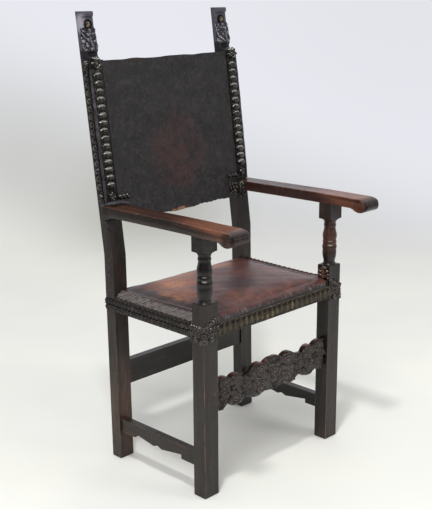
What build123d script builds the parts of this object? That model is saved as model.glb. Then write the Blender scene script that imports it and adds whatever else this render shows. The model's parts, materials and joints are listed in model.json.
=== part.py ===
from build123d import *
import os
from math import atan, cos, exp, radians, sin, tan

# A leather armchair with tall rear posts, a carved front stretcher and embossed brass trim.
# Millimetres and degrees. +Z is up and the chair faces -Y. The origin is on the floor, under
# the middle of the chair's outline. Left and right are the sitter's, so left is +X.

os.makedirs("parts", exist_ok=True)

# ---- the frame as a whole ----------------------------------------------------------------
chair_width = 556.0  # over the outer faces of the legs and posts
chair_height = 1253.0  # floor to the tops of the finials
base_depth = 380.5  # on the floor, front of the front legs to back of the rear posts
lower_lean = 8.0  # how far the rear posts lean back between the floor and their bend
bend_height = 600.0
rake_angle = 7.6  # lean of the rear posts above the bend
joint_gap = 0.1  # round every tenon in its mortise
peg_gap = 0.05  # round every peg in its hole
seam_gap = 0.6  # between a leather or cloth edge and the wood beside it

# ---- front posts -------------------------------------------------------------------------
leg_width = 50.0
leg_depth = 42.0
leg_top = 539.0  # top of the square leg, where the turning starts
turning_height = 135.0
turning_radius = 21.0
cap_height = 45.0  # square block that carries the arm
leg_chamfer = 2.0

# ---- rear posts and finials --------------------------------------------------------------
post_width = 47.0
post_depth = 36.0
finial_height = 126.0
neck_depth = 15.5  # the slim part below the finial's cap
finial_nail_drop = 34.0  # from the top of the chair down to the brass nail

# ---- arms --------------------------------------------------------------------------------
arm_thickness = 28.0
arm_overhang = 119.0  # noses ahead of the front posts
arm_inset = 48.0  # inner faces, in from the outer faces of the legs
arm_width = 68.0
arm_taper = 7.0  # narrower at the back, all on the outer side
arm_drop = 5.0  # lower at the back
arm_level_length = 60.0  # stays level this far behind the front of the leg
haunch_length = 50.0  # swelling under the arm, at the rear post
haunch_drop = 8.0
nose_corner = 12.0  # radius in plan
nose_scroll = 10.0  # how far the scroll hangs under the arm

# ---- stretchers --------------------------------------------------------------------------
side_stretcher_width = 22.0
side_stretcher_inset = 6.3  # behind the outer faces of the legs
side_stretcher_top = 122.5
side_stretcher_height = 39.5
side_block_length = 56.5
side_waist = 12.5  # how far the underside steps up beside the end blocks
side_notch_width = 32.0
side_notch_height = 6.0
back_stretcher_bottom = 218.0
back_stretcher_height = 71.0
back_board_width = 22.0
back_board_setback = 4.0  # behind the front faces of the rear posts
carved_bottom = 229.0
carved_height = 96.0
carved_thickness = 24.0
carved_setback = 2.0  # behind the front faces of the legs
carved_relief = 4.0
carved_end = 27.0  # plain block at each end
scroll_band = 5.0
scroll_eye = 4.5
pierced_radius = 3.5
leaf_width = 20.0
leaf_length = 52.0

# ---- seat --------------------------------------------------------------------------------
rail_bottom = 444.0
rail_height = 28.0  # of the side rails; front and rear stand one strap higher
rail_width = 28.0
leather = 3.0
strap_thickness = 2.0
strap_width = 50.0
strap_pitch = 70.0
long_strap_pitch = 98.0
strap_edge = 10.0  # straps stop this far inside the outer faces of the rails
cloth_edge = 13.0  # and the cloth this far inside the edges of the leather
cloth_thickness = 1.0
seat_edge = 478.0  # height where the leather turns over the rails
seat_crown = 42.0
seat_back_overlap = 3.0  # leather behind the rear rail
crown_run_side = 60.0  # how fast the crown rises from the sides
crown_run_front = 25.0  # and from the front and the back
crown_steps = (0.0, 0.35, 0.8, 1.5, 2.5)
stuffing_gap = 0.4

# ---- back leather ------------------------------------------------------------------------
back_bottom = 697.0
back_top_gap = 2.0  # below the bases of the finials
back_wrap = 26.0  # turned onto the outer faces of the posts
back_notch_gap = 4.0  # beside the arms

# ---- joints in the wood ------------------------------------------------------------------
stretcher_tenon = 9.0
stretcher_tenon_height = 30.0
stretcher_tenon_length = 26.0
carved_tenon = 12.0
carved_tenon_height = 50.0
carved_tenon_length = 24.0
rail_tenon = 12.0
rail_tenon_height = 20.0
side_rail_tenon_length = 26.0
cross_rail_tenon_length = 21.0
cross_rail_tenon_setback = 11.0  # tenon faces behind the faces of the legs
side_rail_tenon_setback = 9.0
post_tenon_size = 22.0
post_tenon_length = 18.0
arm_tenon_width = 30.0
arm_tenon_height = 16.0
arm_tenon_length = 22.0
peg_radius = 3.5
peg_end = 3.0  # past the far side of the tenon
tenon_root = 1.0  # tenons start this far inside their board where its end is slanted

# ---- embossed trim and nails -------------------------------------------------------------
trim_sheet = 1.2
trim_lift = 3.0  # back trim above the tops of the arms
seat_trim_height = 35.0
seat_trim_bottom = 445.0
seat_boss_width = 13.0
seat_boss_height = 30.0
seat_boss_rise = 4.0
seat_boss_pitch = 20.6
back_trim_width = 40.0
back_boss_width = 34.0
back_boss_height = 14.0
back_boss_rise = 5.0
back_boss_pitch = 21.0
edge_trim_width = 22.0
edge_boss_width = 16.0
boss_taper = 24.0
rosette_radius = 15.0
rosette_rise = 6.0
rosette_space = 4.0  # between a rosette and the first boss
rosette_edge = 1.0  # and between a rosette and the end of its strip
arm_rosette_radius = 10.0
foot_trim_length = 42.0
foot_trim_height = 16.0
foot_trim_rise = 3.0
leaf_plate_width = 38.0
leaf_plate_height = 34.0
leaf_plate_bottom = 503.0
leaf_plate_thickness = 2.0
nail_shank = 6.0
tack_head = 7.0
nail_head = 10.0
large_nail_head = 16.0
finial_nail_head = 22.0
seat_nail_pitch = 28.0  # of the plain nails along the back of the seat
leg_nail_spread = 15.0
leg_nail_lift = 8.0  # above the seat trim
rivet_rows = 3
rivet_row_pitch = 14.0
rivet_column_pitch = 12.0
rivet_margin = 7.5  # from the edges of the back leather
outer_tack_heights = (505.0, 526.0, 547.0, 568.0, 589.0)
inner_tack_heights = (530.0, 545.0, 560.0)
post_nail_z = 690.0

# ---- sizes that follow -------------------------------------------------------------------
rake = tan(radians(rake_angle))
lean_angle = atan(lower_lean / bend_height)
total_depth = arm_overhang + base_depth + lower_lean + rake * (chair_height - bend_height)
leg_front = arm_overhang - total_depth / 2  # y of the front faces of the front legs
leg_back = leg_front + leg_depth
half_width = chair_width / 2
leg_inner = half_width - leg_width
leg_x = half_width - leg_width / 2
leg_y = leg_front + leg_depth / 2
post_inner = half_width - post_width
post_x = half_width - post_width / 2
arm_bottom = leg_top + turning_height + cap_height
arm_top = arm_bottom + arm_thickness
arm_inner = half_width - arm_inset
arm_outer = arm_inner + arm_width
rail_outer = half_width - leather
rail_top = rail_bottom + rail_height
cross_rail_top = rail_top + strap_thickness
webbing_top = cross_rail_top + strap_thickness
cloth_top = webbing_top + cloth_thickness
rail_front = leg_front + leather
finial_base = chair_height - finial_height
back_top = finial_base - back_top_gap


def post_front(z):
    """y of the rear posts' front faces at height z: a slight lean, then the raked back."""
    lean = lower_lean * min(z, bend_height) / bend_height
    return leg_front + base_depth - post_depth + lean + rake * max(z - bend_height, 0.0)


def post_back(z):
    """y of the rear posts' rear faces at height z."""
    return post_front(z) + post_depth


# The raked plane of the posts' front faces, from the arms up: x across, y up the slope.
slope_up = (0, sin(radians(rake_angle)), cos(radians(rake_angle)))
slope_out = (0, -cos(radians(rake_angle)), sin(radians(rake_angle)))
back_plane = Plane(origin=(0, post_front(arm_top), arm_top), x_dir=(1, 0, 0), z_dir=slope_out)


def up_slope(z):
    """Distance up the raked plane from the tops of the arms to height z."""
    return (z - arm_top) / cos(radians(rake_angle))


def keep(part, name):
    """Label a finished piece and write it."""
    part.label = name
    export_step(part, f"parts/{name}.step")


def keep_pair(part, name):
    """Write the sitter's left piece and its mirror image on the right."""
    keep(part, f"{name}_left")
    with BuildPart() as other:
        mirror(part, about=Plane.YZ)
    keep(other.part, f"{name}_right")


def span(box, grow=0.0, mode=Mode.ADD):
    """A box given as three (low, high) pairs, grown all round by a clearance."""
    with Locations(tuple((low + high) / 2 for low, high in box)):
        Box(*(high - low + 2 * grow for low, high in box), mode=mode)


def mirrored(box):
    """The same box on the other side of the chair."""
    (low, high), along, up = box
    return ((-high, -low), along, up)


def drill(pegs):
    """Cut the holes of the given pegs out of the piece being made."""
    for plane, length in pegs:
        with Locations(plane):
            Cylinder(
                peg_radius + peg_gap,
                length + peg_gap,
                align=(Align.CENTER, Align.CENTER, Align.MAX),
                mode=Mode.SUBTRACT,
            )


def peg_group(pegs):
    """Oak pegs, each flush with the face that it is driven in from, and their mirror images."""
    with BuildPart() as group:
        for plane, length in pegs:
            with Locations(plane):
                Cylinder(peg_radius, length, align=(Align.CENTER, Align.CENTER, Align.MAX))
        mirror(about=Plane.YZ)
    return group.part


def side_board(outline, x_low, thickness):
    """A board cut to an outline in the YZ plane, from x_low outwards."""
    with BuildPart() as board:
        with BuildSketch(Plane.YZ.offset(x_low)):
            with BuildLine():
                Polyline(*outline, close=True)
            make_face()
        extrude(amount=thickness)
    return board.part


def dome_radius(rise, reach):
    """Radius of a dome that rises this much over this reach from its middle."""
    return (rise**2 + reach**2) / (2 * rise)


def nail(head, rise, shank=nail_shank):
    """A domed nail, its head on the plane z = 0 and its shank below."""
    with BuildPart() as one:
        with BuildSketch(Plane.XZ):
            with BuildLine():
                RadiusArc((0, rise), (head / 2, 0), dome_radius(rise, head / 2))
                Polyline((head / 2, 0), (head / 8, 0), (head / 8, -shank), (0, -shank), (0, rise))
            make_face()
        revolve(axis=Axis.Z)
    return one.part


def nail_group(one, planes):
    """Copies of a nail on the given planes and on their mirror images."""
    with BuildPart() as group:
        for plane in planes:
            add(plane.location * one)
        mirror(about=Plane.YZ)
    return group.part


def facing_left(x, y, z):
    """A plane on a face that looks towards +X."""
    return Plane(origin=(x, y, z), x_dir=(0, 1, 0), z_dir=(1, 0, 0))


def facing_right(x, y, z):
    """A plane on a face that looks towards -X."""
    return Plane(origin=(x, y, z), x_dir=(0, -1, 0), z_dir=(-1, 0, 0))


def facing_front(x, y, z):
    """A plane on a face that looks towards -Y."""
    return Plane(origin=(x, y, z), x_dir=(1, 0, 0), z_dir=(0, -1, 0))


def facing_back(x, z):
    """A plane on the rear face of a rear post, below its bend."""
    return Plane(origin=(x, post_back(z), z), x_dir=(-1, 0, 0), z_dir=(0, cos(lean_angle), -sin(lean_angle)))


def on_back(x, z, height=0.0):
    """A plane on the raked front face of the back, or that far above it."""
    return Plane(
        origin=back_plane.offset(height).from_local_coords((x, up_slope(z), 0)),
        x_dir=(1, 0, 0),
        z_dir=slope_out,
    )


# ---- where the tenons are, on the left ---------------------------------------------------
side_stretcher_z = side_stretcher_top - side_stretcher_height / 2
side_stretcher_outer = half_width - side_stretcher_inset
side_stretcher_x = side_stretcher_outer - side_stretcher_width / 2
side_tenon_x = (side_stretcher_x - stretcher_tenon / 2, side_stretcher_x + stretcher_tenon / 2)
side_tenon_z = (
    side_stretcher_z - stretcher_tenon_height / 2,
    side_stretcher_z + stretcher_tenon_height / 2,
)
side_front_tenon = (side_tenon_x, (leg_back - stretcher_tenon_length, leg_back), side_tenon_z)
side_rear_y = post_front(side_stretcher_z)
side_rear_tenon = (
    side_tenon_x,
    (side_rear_y - tenon_root, side_rear_y + stretcher_tenon_length),
    side_tenon_z,
)

back_stretcher_z = back_stretcher_bottom + back_stretcher_height / 2
back_stretcher_front = post_front(back_stretcher_z) + back_board_setback
back_stretcher_y = back_stretcher_front + back_board_width / 2
back_stretcher_tenon = (
    (post_inner, post_inner + stretcher_tenon_length),
    (back_stretcher_y - stretcher_tenon / 2, back_stretcher_y + stretcher_tenon / 2),
    (back_stretcher_z - stretcher_tenon_height / 2, back_stretcher_z + stretcher_tenon_height / 2),
)

carved_front = leg_front + carved_setback
carved_z = carved_bottom + carved_height / 2
carved_y = carved_front + carved_thickness / 2
carved_stretcher_tenon = (
    (leg_inner, leg_inner + carved_tenon_length),
    (carved_y - carved_tenon / 2, carved_y + carved_tenon / 2),
    (carved_z - carved_tenon_height / 2, carved_z + carved_tenon_height / 2),
)

rail_z = rail_bottom + rail_height / 2
rail_tenon_z = (rail_z - rail_tenon_height / 2, rail_z + rail_tenon_height / 2)
side_rail_tenon_x = (
    half_width - side_rail_tenon_setback - rail_tenon,
    half_width - side_rail_tenon_setback,
)
side_rail_front_tenon = (side_rail_tenon_x, (leg_back - side_rail_tenon_length, leg_back), rail_tenon_z)
rail_rear_y = post_front(rail_z)
side_rail_rear_tenon = (
    side_rail_tenon_x,
    (rail_rear_y - tenon_root, rail_rear_y + side_rail_tenon_length),
    rail_tenon_z,
)
front_rail_tenon = (
    (leg_inner, leg_inner + cross_rail_tenon_length),
    (leg_front + cross_rail_tenon_setback, leg_front + cross_rail_tenon_setback + rail_tenon),
    rail_tenon_z,
)
rear_rail_front = rail_rear_y + back_board_setback
rear_rail_back = rear_rail_front + back_board_width
rear_rail_y = (rear_rail_front + rear_rail_back) / 2
rear_rail_tenon = (
    (post_inner, post_inner + cross_rail_tenon_length),
    (rear_rail_y - rail_tenon / 2, rear_rail_y + rail_tenon / 2),
    rail_tenon_z,
)

post_tenon = (
    (leg_x - post_tenon_size / 2, leg_x + post_tenon_size / 2),
    (leg_y - post_tenon_size / 2, leg_y + post_tenon_size / 2),
    (arm_bottom, arm_bottom + post_tenon_length),
)
arm_rear_top = arm_top - arm_drop
arm_rear_z = arm_rear_top - arm_thickness / 2
arm_rear_y = post_front(arm_rear_z)
arm_tenon = (
    (post_x - arm_tenon_width / 2, post_x + arm_tenon_width / 2),
    (arm_rear_y - arm_tenon_height * rake, arm_rear_y + arm_tenon_length),
    (arm_rear_z - arm_tenon_height / 2, arm_rear_z + arm_tenon_height / 2),
)

# ---- pegs on the left: the plane of each peg's outer end, and its length -------------------
side_peg_length = half_width - side_tenon_x[0] + peg_end
side_stretcher_pegs = [
    (facing_left(half_width, leg_back - stretcher_tenon_length / 2, side_stretcher_z), side_peg_length),
    (facing_left(half_width, side_rear_y + stretcher_tenon_length / 2, side_stretcher_z), side_peg_length),
]
back_peg_length = post_back(back_stretcher_z) - back_stretcher_tenon[1][0] + peg_end
back_stretcher_pegs = [
    (facing_back(post_inner + stretcher_tenon_length / 2, back_stretcher_z), back_peg_length)
]
carved_peg_length = carved_stretcher_tenon[1][1] - leg_front + peg_end
carved_pegs = [
    (facing_front(leg_inner + carved_tenon_length / 2, leg_front, height), carved_peg_length)
    for height in (carved_z - carved_tenon_height / 4, carved_z + carved_tenon_height / 4)
]
rail_peg_length = half_width - side_rail_tenon_x[0] + peg_end
side_rail_pegs = [
    (facing_left(half_width, leg_back - side_rail_tenon_length / 2, rail_z), rail_peg_length),
    (facing_left(half_width, rail_rear_y + side_rail_tenon_length / 2, rail_z), rail_peg_length),
]
front_rail_pegs = [
    (
        facing_front(leg_inner + cross_rail_tenon_length / 2, leg_front, rail_z),
        front_rail_tenon[1][1] - leg_front + peg_end,
    )
]
rear_rail_pegs = [
    (
        facing_back(post_inner + cross_rail_tenon_length / 2, rail_z),
        post_back(rail_z) - rear_rail_tenon[1][0] + peg_end,
    )
]
arm_front_pegs = [
    (
        facing_right(arm_inner, leg_y, arm_bottom + post_tenon_length / 2),
        post_tenon[0][1] - arm_inner + peg_end,
    )
]
arm_rear_pegs = [
    (
        facing_left(half_width, arm_rear_y + arm_tenon_length / 2, arm_rear_z),
        half_width - arm_tenon[0][0] - peg_end,
    )
]

# ---- front posts -------------------------------------------------------------------------
# The turning is a chain of arcs through (share of height, share of radius) points: hollow,
# vase, bead, ring, long vase, neck, ring and the hollow under the square block.
turning_points = [
    (0.0, 1.0),
    (0.037, 0.82),
    (0.088, 0.77),
    (0.206, 0.94),
    (0.331, 0.925),
    (0.39, 0.995),
    (0.449, 0.895),
    (0.493, 0.95),
    (0.537, 0.875),
    (0.625, 0.97),
    (0.721, 0.865),
    (0.772, 0.80),
    (0.816, 0.765),
    (0.857, 0.84),
    (0.897, 0.77),
    (0.963, 0.93),
    (1.0, 1.33),
]
turning_path = [(radius * turning_radius, share * turning_height) for share, radius in turning_points]

with BuildPart() as turning:
    with BuildSketch(facing_front(leg_x, leg_y, leg_top)):
        with BuildLine():
            for start, middle, end in zip(turning_path[:-2:2], turning_path[1:-1:2], turning_path[2::2]):
                ThreePointArc(start, middle, end)
            Polyline(turning_path[-1], (0, turning_height), (0, 0), turning_path[0])
        make_face()
    revolve(axis=Axis((leg_x, leg_y, leg_top), (0, 0, 1)))
    span(
        (
            (half_width - leg_width, half_width),
            (leg_front, leg_back),
            (leg_top, leg_top + turning_height),
        ),
        mode=Mode.INTERSECT,
    )

with BuildPart() as front_post:
    with Locations((leg_x, leg_y, 0)):
        Box(leg_width, leg_depth, leg_top, align=(Align.CENTER, Align.CENTER, Align.MIN))
    chamfer(front_post.faces().sort_by(Axis.Z)[0].edges(), leg_chamfer)
    chamfer(front_post.faces().sort_by(Axis.Z)[-1].edges(), leg_chamfer)
    add(turning.part)
    with Locations((leg_x, leg_y, leg_top + turning_height)):
        Box(leg_width, leg_depth, cap_height, align=(Align.CENTER, Align.CENTER, Align.MIN))
    span(post_tenon)
    for mortise in (side_front_tenon, carved_stretcher_tenon, side_rail_front_tenon, front_rail_tenon):
        span(mortise, joint_gap, Mode.SUBTRACT)
    drill(side_stretcher_pegs[:1] + carved_pegs + side_rail_pegs[:1] + front_rail_pegs + arm_front_pegs)
keep_pair(front_post.part, "front_post")

# ---- rear posts --------------------------------------------------------------------------


def finial_point(depth, height):
    """A point of the finial's outline: depth ahead of its back, height above its base."""
    return (post_back(finial_base + height) - depth, finial_base + height)


leaf_tip = 0.24 * finial_height
finial_plan = Plane(origin=(post_x, post_back(finial_base), finial_base), x_dir=(1, 0, 0), z_dir=slope_up)
with BuildPart() as finial:
    with BuildSketch(Plane.YZ.offset(post_inner)):
        with BuildLine():
            Line(finial_point(post_depth, 0), finial_point(0.62 * post_depth, 0.1 * finial_height))
            ThreePointArc(
                finial_point(0.62 * post_depth, 0.1 * finial_height),
                finial_point(0.68 * post_depth, 0.145 * finial_height),
                finial_point(0.84 * post_depth, 0.17 * finial_height),
            )
            Line(
                finial_point(0.84 * post_depth, 0.17 * finial_height),
                finial_point(0.86 * post_depth, leaf_tip),
            )
            ThreePointArc(
                finial_point(0.86 * post_depth, leaf_tip),
                finial_point(0.66 * post_depth, 0.45 * finial_height),
                finial_point(neck_depth, 0.68 * finial_height),
            )
            Line(
                finial_point(neck_depth, 0.68 * finial_height),
                finial_point(neck_depth, 0.89 * finial_height),
            )
            ThreePointArc(
                finial_point(neck_depth, 0.89 * finial_height),
                finial_point(0.72 * post_depth, 0.95 * finial_height),
                finial_point(0.67 * post_depth, finial_height),
            )
            Polyline(
                finial_point(0.67 * post_depth, finial_height),
                finial_point(0, finial_height),
                finial_point(0, 0),
                finial_point(post_depth, 0),
            )
        make_face()
    extrude(amount=post_width)
    # In plan it is full width at the back and canted to a narrow front.
    with BuildSketch(finial_plan.offset(-0.1 * finial_height)):
        with BuildLine():
            Polyline(
                (-post_width / 2, 1),
                (-post_width / 2, -0.33 * post_depth),
                (-0.24 * post_width, -1.01 * post_depth),
                (0.24 * post_width, -1.01 * post_depth),
                (post_width / 2, -0.33 * post_depth),
                (post_width / 2, 1),
                close=True,
            )
        make_face()
    extrude(amount=1.2 * finial_height, mode=Mode.INTERSECT)

post_shaft = side_board(
    [
        (post_front(0), 0),
        (post_front(bend_height), bend_height),
        (post_front(finial_base), finial_base),
        (post_back(finial_base), finial_base),
        (post_back(bend_height), bend_height),
        (post_back(0), 0),
    ],
    post_inner,
    post_width,
)

with BuildPart() as rear_post:
    add(post_shaft)
    chamfer(rear_post.faces().sort_by(Axis.Z)[0].edges(), leg_chamfer)
    add(finial.part)
    for mortise in (side_rear_tenon, back_stretcher_tenon, side_rail_rear_tenon, rear_rail_tenon, arm_tenon):
        span(mortise, joint_gap, Mode.SUBTRACT)
    drill(side_stretcher_pegs[1:] + back_stretcher_pegs + side_rail_pegs[1:] + rear_rail_pegs + arm_rear_pegs)
keep_pair(rear_post.part, "rear_post")

# ---- arms --------------------------------------------------------------------------------
nose = leg_front - arm_overhang
arm_level_end = leg_front + arm_level_length
haunch_start = post_front(arm_rear_z) - haunch_length
arm_slope = arm_drop / (post_front(arm_rear_top) - arm_level_end)


def arm_under(y):
    """Height of the arm's underside, level at first and then falling to the back."""
    return arm_bottom - arm_slope * max(y - arm_level_end, 0.0)


arm_back_bottom = arm_under(arm_rear_y) - haunch_drop
with BuildPart() as arm:
    with BuildSketch(Plane.YZ.offset(arm_inner)):
        with BuildLine():
            Spline(
                (nose + 0.3 * arm_overhang, arm_top),
                (nose + 0.4 * arm_thickness, arm_top - 0.18 * arm_thickness),
                (nose, arm_top - 0.7 * arm_thickness),
                (nose + 0.3 * arm_thickness, arm_bottom - 0.5 * nose_scroll),
                (nose + 0.9 * arm_thickness, arm_bottom - nose_scroll),
                (nose + 1.4 * arm_thickness, arm_bottom - 0.7 * nose_scroll),
                (nose + 1.75 * arm_thickness, arm_bottom),
                tangents=[(-1, 0), (1, 1.2)],
            )
            Polyline(
                (nose + 1.75 * arm_thickness, arm_bottom),
                (arm_level_end, arm_bottom),
                (haunch_start, arm_under(haunch_start)),
            )
            ThreePointArc(
                (haunch_start, arm_under(haunch_start)),
                (haunch_start + 0.6 * haunch_length, arm_under(haunch_start) - 0.22 * haunch_drop),
                (post_front(arm_back_bottom), arm_back_bottom),
            )
            Polyline(
                (post_front(arm_back_bottom), arm_back_bottom),
                (post_front(arm_rear_top), arm_rear_top),
                (arm_level_end, arm_top),
                (nose + 0.3 * arm_overhang, arm_top),
            )
        make_face()
    extrude(amount=arm_width)
    # Seen from above, the outer edge runs in towards the back and the nose has round corners.
    with BuildSketch(Plane.XY.offset(arm_back_bottom - nose_scroll)) as arm_plan:
        with BuildLine():
            Polyline(
                (arm_inner, nose),
                (arm_outer, nose),
                (arm_outer - arm_taper, post_back(arm_top)),
                (arm_inner, post_back(arm_top)),
                close=True,
            )
        make_face()
        fillet(arm_plan.vertices().group_by(Axis.Y)[0], nose_corner)
    extrude(amount=4 * arm_thickness, mode=Mode.INTERSECT)
    span(arm_tenon)
    span(post_tenon, joint_gap, Mode.SUBTRACT)
    drill(arm_front_pegs + arm_rear_pegs)
keep_pair(arm.part, "arm")

# ---- side stretchers ---------------------------------------------------------------------
side_bottom = side_stretcher_top - side_stretcher_height
side_middle = (leg_back + post_front(side_bottom)) / 2
side_front_step = leg_back + side_block_length
side_rear_step = 2 * side_middle - side_front_step
side_outline = [
    (leg_back, side_bottom),
    (side_front_step, side_bottom),
    (side_front_step, side_bottom + side_waist),
    (side_middle - side_notch_width / 2, side_bottom),
    (side_middle, side_bottom + side_notch_height),
    (side_middle + side_notch_width / 2, side_bottom),
    (side_rear_step, side_bottom + side_waist),
    (side_rear_step, side_bottom),
    (post_front(side_bottom), side_bottom),
    (post_front(side_stretcher_top), side_stretcher_top),
    (leg_back, side_stretcher_top),
]
side_stretcher_board = side_board(side_outline, side_stretcher_outer - side_stretcher_width, side_stretcher_width)
with BuildPart() as side_stretcher:
    add(side_stretcher_board)
    span(side_front_tenon)
    span(side_rear_tenon)
    drill(side_stretcher_pegs)
keep_pair(side_stretcher.part, "side_stretcher")

# ---- back stretcher and front stretcher, each made as its left half and mirrored ----------
with BuildPart() as back_stretcher:
    span(
        (
            (0, post_inner),
            (back_stretcher_front, back_stretcher_front + back_board_width),
            (back_stretcher_bottom, back_stretcher_bottom + back_stretcher_height),
        )
    )
    span(back_stretcher_tenon)
    drill(back_stretcher_pegs)
    mirror(about=Plane.YZ)
keep(back_stretcher.part, "back_stretcher")

carved_plane = Plane(origin=(0, carved_front, carved_bottom), x_dir=(1, 0, 0), z_dir=(0, -1, 0))
carved_half = leg_inner


def carved_point(across, up):
    """A point of the carved outline: shares of the half length and of the height."""
    return (across * carved_half, up * carved_height)


# Outlines from the middle outwards, as arcs through (across, up) shares.
top_outline = [
    (0.0, 1.0),
    (0.09, 0.985),
    (0.162, 0.896),
    (0.254, 0.99),
    (0.377, 0.896),
    (0.474, 0.8),
    (0.557, 0.78),
    (0.662, 0.948),
    (0.754, 0.854),
    (0.811, 0.95),
    (0.882, 0.98),
]
bottom_outline = [
    (0.0, 0.01),
    (0.1, 0.03),
    (0.175, 0.094),
    (0.3, 0.0),
    (0.49, 0.146),
    (0.66, 0.0),
    (0.8, 0.146),
    (0.908, 0.0),
    (1.0, 0.146),
]
# Scrolls: centre across and up as shares, and radius as a share of the height.
scrolls = [
    (0.25, 0.708, 0.208),
    (0.655, 0.7, 0.156),
    (0.307, 0.219, 0.208),
    (0.655, 0.2, 0.177),
]
middle_boss_radius = 0.2 * carved_height


def arcs(points):
    """A chain of arcs, each through three successive points."""
    for start, middle, end in zip(points[:-2:2], points[1:-1:2], points[2::2]):
        ThreePointArc(carved_point(*start), carved_point(*middle), carved_point(*end))


with BuildPart() as front_stretcher:
    with BuildSketch(carved_plane.offset(-carved_relief)):
        with BuildLine():
            arcs(top_outline)
            Polyline(
                carved_point(*top_outline[-1]),
                carved_point(1.0, top_outline[-1][1]),
                carved_point(*bottom_outline[-1]),
            )
            arcs(bottom_outline)
            Line(carved_point(*bottom_outline[0]), carved_point(*top_outline[0]))
        make_face()
    extrude(amount=-(carved_thickness - carved_relief))
    # Raised work: the plain end block, the scrolls with their eyes, half of the middle boss.
    with BuildSketch(carved_plane.offset(-carved_relief)):
        with Locations((carved_half - carved_end / 2, 0.56 * carved_height)):
            Rectangle(carved_end, 0.8 * carved_height)
        for across, up, radius in scrolls:
            with Locations(carved_point(across, up)):
                Circle(radius * carved_height)
                Circle(radius * carved_height - scroll_band, mode=Mode.SUBTRACT)
                Circle(scroll_eye)
        with Locations(carved_point(0.908, 0.3)):
            Ellipse(leaf_width / 2, leaf_length / 2)
        with Locations(carved_point(0.0, 0.5)):
            Circle(middle_boss_radius)
            Circle(middle_boss_radius - scroll_band, mode=Mode.SUBTRACT)
            Circle(scroll_eye)
        with Locations((carved_half / 2, carved_height / 2)):
            Rectangle(carved_half, 2 * carved_height, mode=Mode.INTERSECT)
    extrude(amount=carved_relief)
    with BuildSketch(carved_plane):
        with Locations(carved_point(0.645, 0.875)):
            Circle(pierced_radius)
    extrude(amount=-carved_thickness, mode=Mode.SUBTRACT)
    span(carved_stretcher_tenon)
    drill(carved_pegs)
    mirror(about=Plane.YZ)
keep(front_stretcher.part, "front_stretcher")

# ---- seat rails --------------------------------------------------------------------------
side_rail_board = side_board(
    [
        (leg_back, rail_bottom),
        (post_front(rail_bottom), rail_bottom),
        (post_front(rail_top), rail_top),
        (leg_back, rail_top),
    ],
    rail_outer - rail_width,
    rail_width,
)
with BuildPart() as side_rail:
    add(side_rail_board)
    span(side_rail_front_tenon)
    span(side_rail_rear_tenon)
    drill(side_rail_pegs)
keep_pair(side_rail.part, "side_rail")

with BuildPart() as front_rail:
    span(((0, leg_inner), (rail_front, rail_front + rail_width), (rail_bottom, cross_rail_top)))
    span(front_rail_tenon)
    drill(front_rail_pegs)
    mirror(about=Plane.YZ)
keep(front_rail.part, "front_rail")

with BuildPart() as rear_rail:
    span(((0, post_inner), (rear_rail_front, rear_rail_back), (rail_bottom, cross_rail_top)))
    span(rear_rail_tenon)
    drill(rear_rail_pegs)
    mirror(about=Plane.YZ)
keep(rear_rail.part, "rear_rail")

# ---- pegs --------------------------------------------------------------------------------
keep(peg_group(side_stretcher_pegs + back_stretcher_pegs + carved_pegs), "stretcher_pegs")
keep(peg_group(side_rail_pegs + front_rail_pegs + rear_rail_pegs), "rail_pegs")
keep(peg_group(arm_front_pegs + arm_rear_pegs), "arm_pegs")

# ---- seat upholstery ---------------------------------------------------------------------
seat_front = leg_front
seat_back = rear_rail_back + seat_back_overlap
seat_depth = seat_back - seat_front
seat_middle = (seat_front + seat_back) / 2

cross_count = int((seat_depth - 2 * rail_width) // strap_pitch) + 1
with BuildPart() as webbing_cross:
    with Locations((0, seat_middle, rail_top)):
        with GridLocations(strap_pitch, strap_pitch, 1, cross_count - 1):
            Box(
                2 * (rail_outer - strap_edge),
                strap_width,
                strap_thickness,
                align=(Align.CENTER, Align.CENTER, Align.MIN),
            )
keep(webbing_cross.part, "seat_webbing_cross")

long_count = int(2 * (leg_inner - strap_edge) // long_strap_pitch)
with BuildPart() as webbing_long:
    with Locations((0, (rail_front + rear_rail_back) / 2, cross_rail_top)):
        with GridLocations(long_strap_pitch, strap_pitch, long_count, 1):
            Box(
                strap_width,
                rear_rail_back - rail_front - 2 * strap_edge,
                strap_thickness,
                align=(Align.CENTER, Align.CENTER, Align.MIN),
            )
keep(webbing_long.part, "seat_webbing_long")

seat_corners = (
    ((leg_inner, half_width + leather), (leg_front - leather, leg_back), (rail_bottom, arm_bottom)),
    (
        (post_inner, half_width + leather),
        (post_front(rail_bottom), seat_back + leather),
        (rail_bottom, arm_bottom),
    ),
)


def clear_corners(gap):
    """Cut the piece being made round the four posts."""
    for corner in seat_corners:
        span(corner, gap, Mode.SUBTRACT)
        span(mirrored(corner), gap, Mode.SUBTRACT)


def crown(inset, drop):
    """The seat's dome: steep at the edges, nearly level in the middle."""
    with BuildPart() as dome:
        for share in crown_steps:
            with BuildSketch(Plane.XY.offset(seat_edge - drop + seat_crown * (1 - exp(-share)))):
                with Locations((0, seat_middle)):
                    Rectangle(
                        chair_width - 2 * (inset + crown_run_side * share),
                        seat_depth - 2 * (inset + crown_run_front * share),
                    )
        loft(ruled=True)
    return dome.part


outer_crown = crown(0.0, 0.0)
inner_crown = crown(leather, leather)
stuffing_crown = crown(leather + stuffing_gap, leather + stuffing_gap)

with BuildPart() as base_cloth:
    span(
        (
            (-(half_width - cloth_edge), half_width - cloth_edge),
            (seat_front + cloth_edge, seat_back - cloth_edge),
            (webbing_top, cloth_top),
        )
    )
    clear_corners(seam_gap)
keep(base_cloth.part, "seat_base_cloth")

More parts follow.
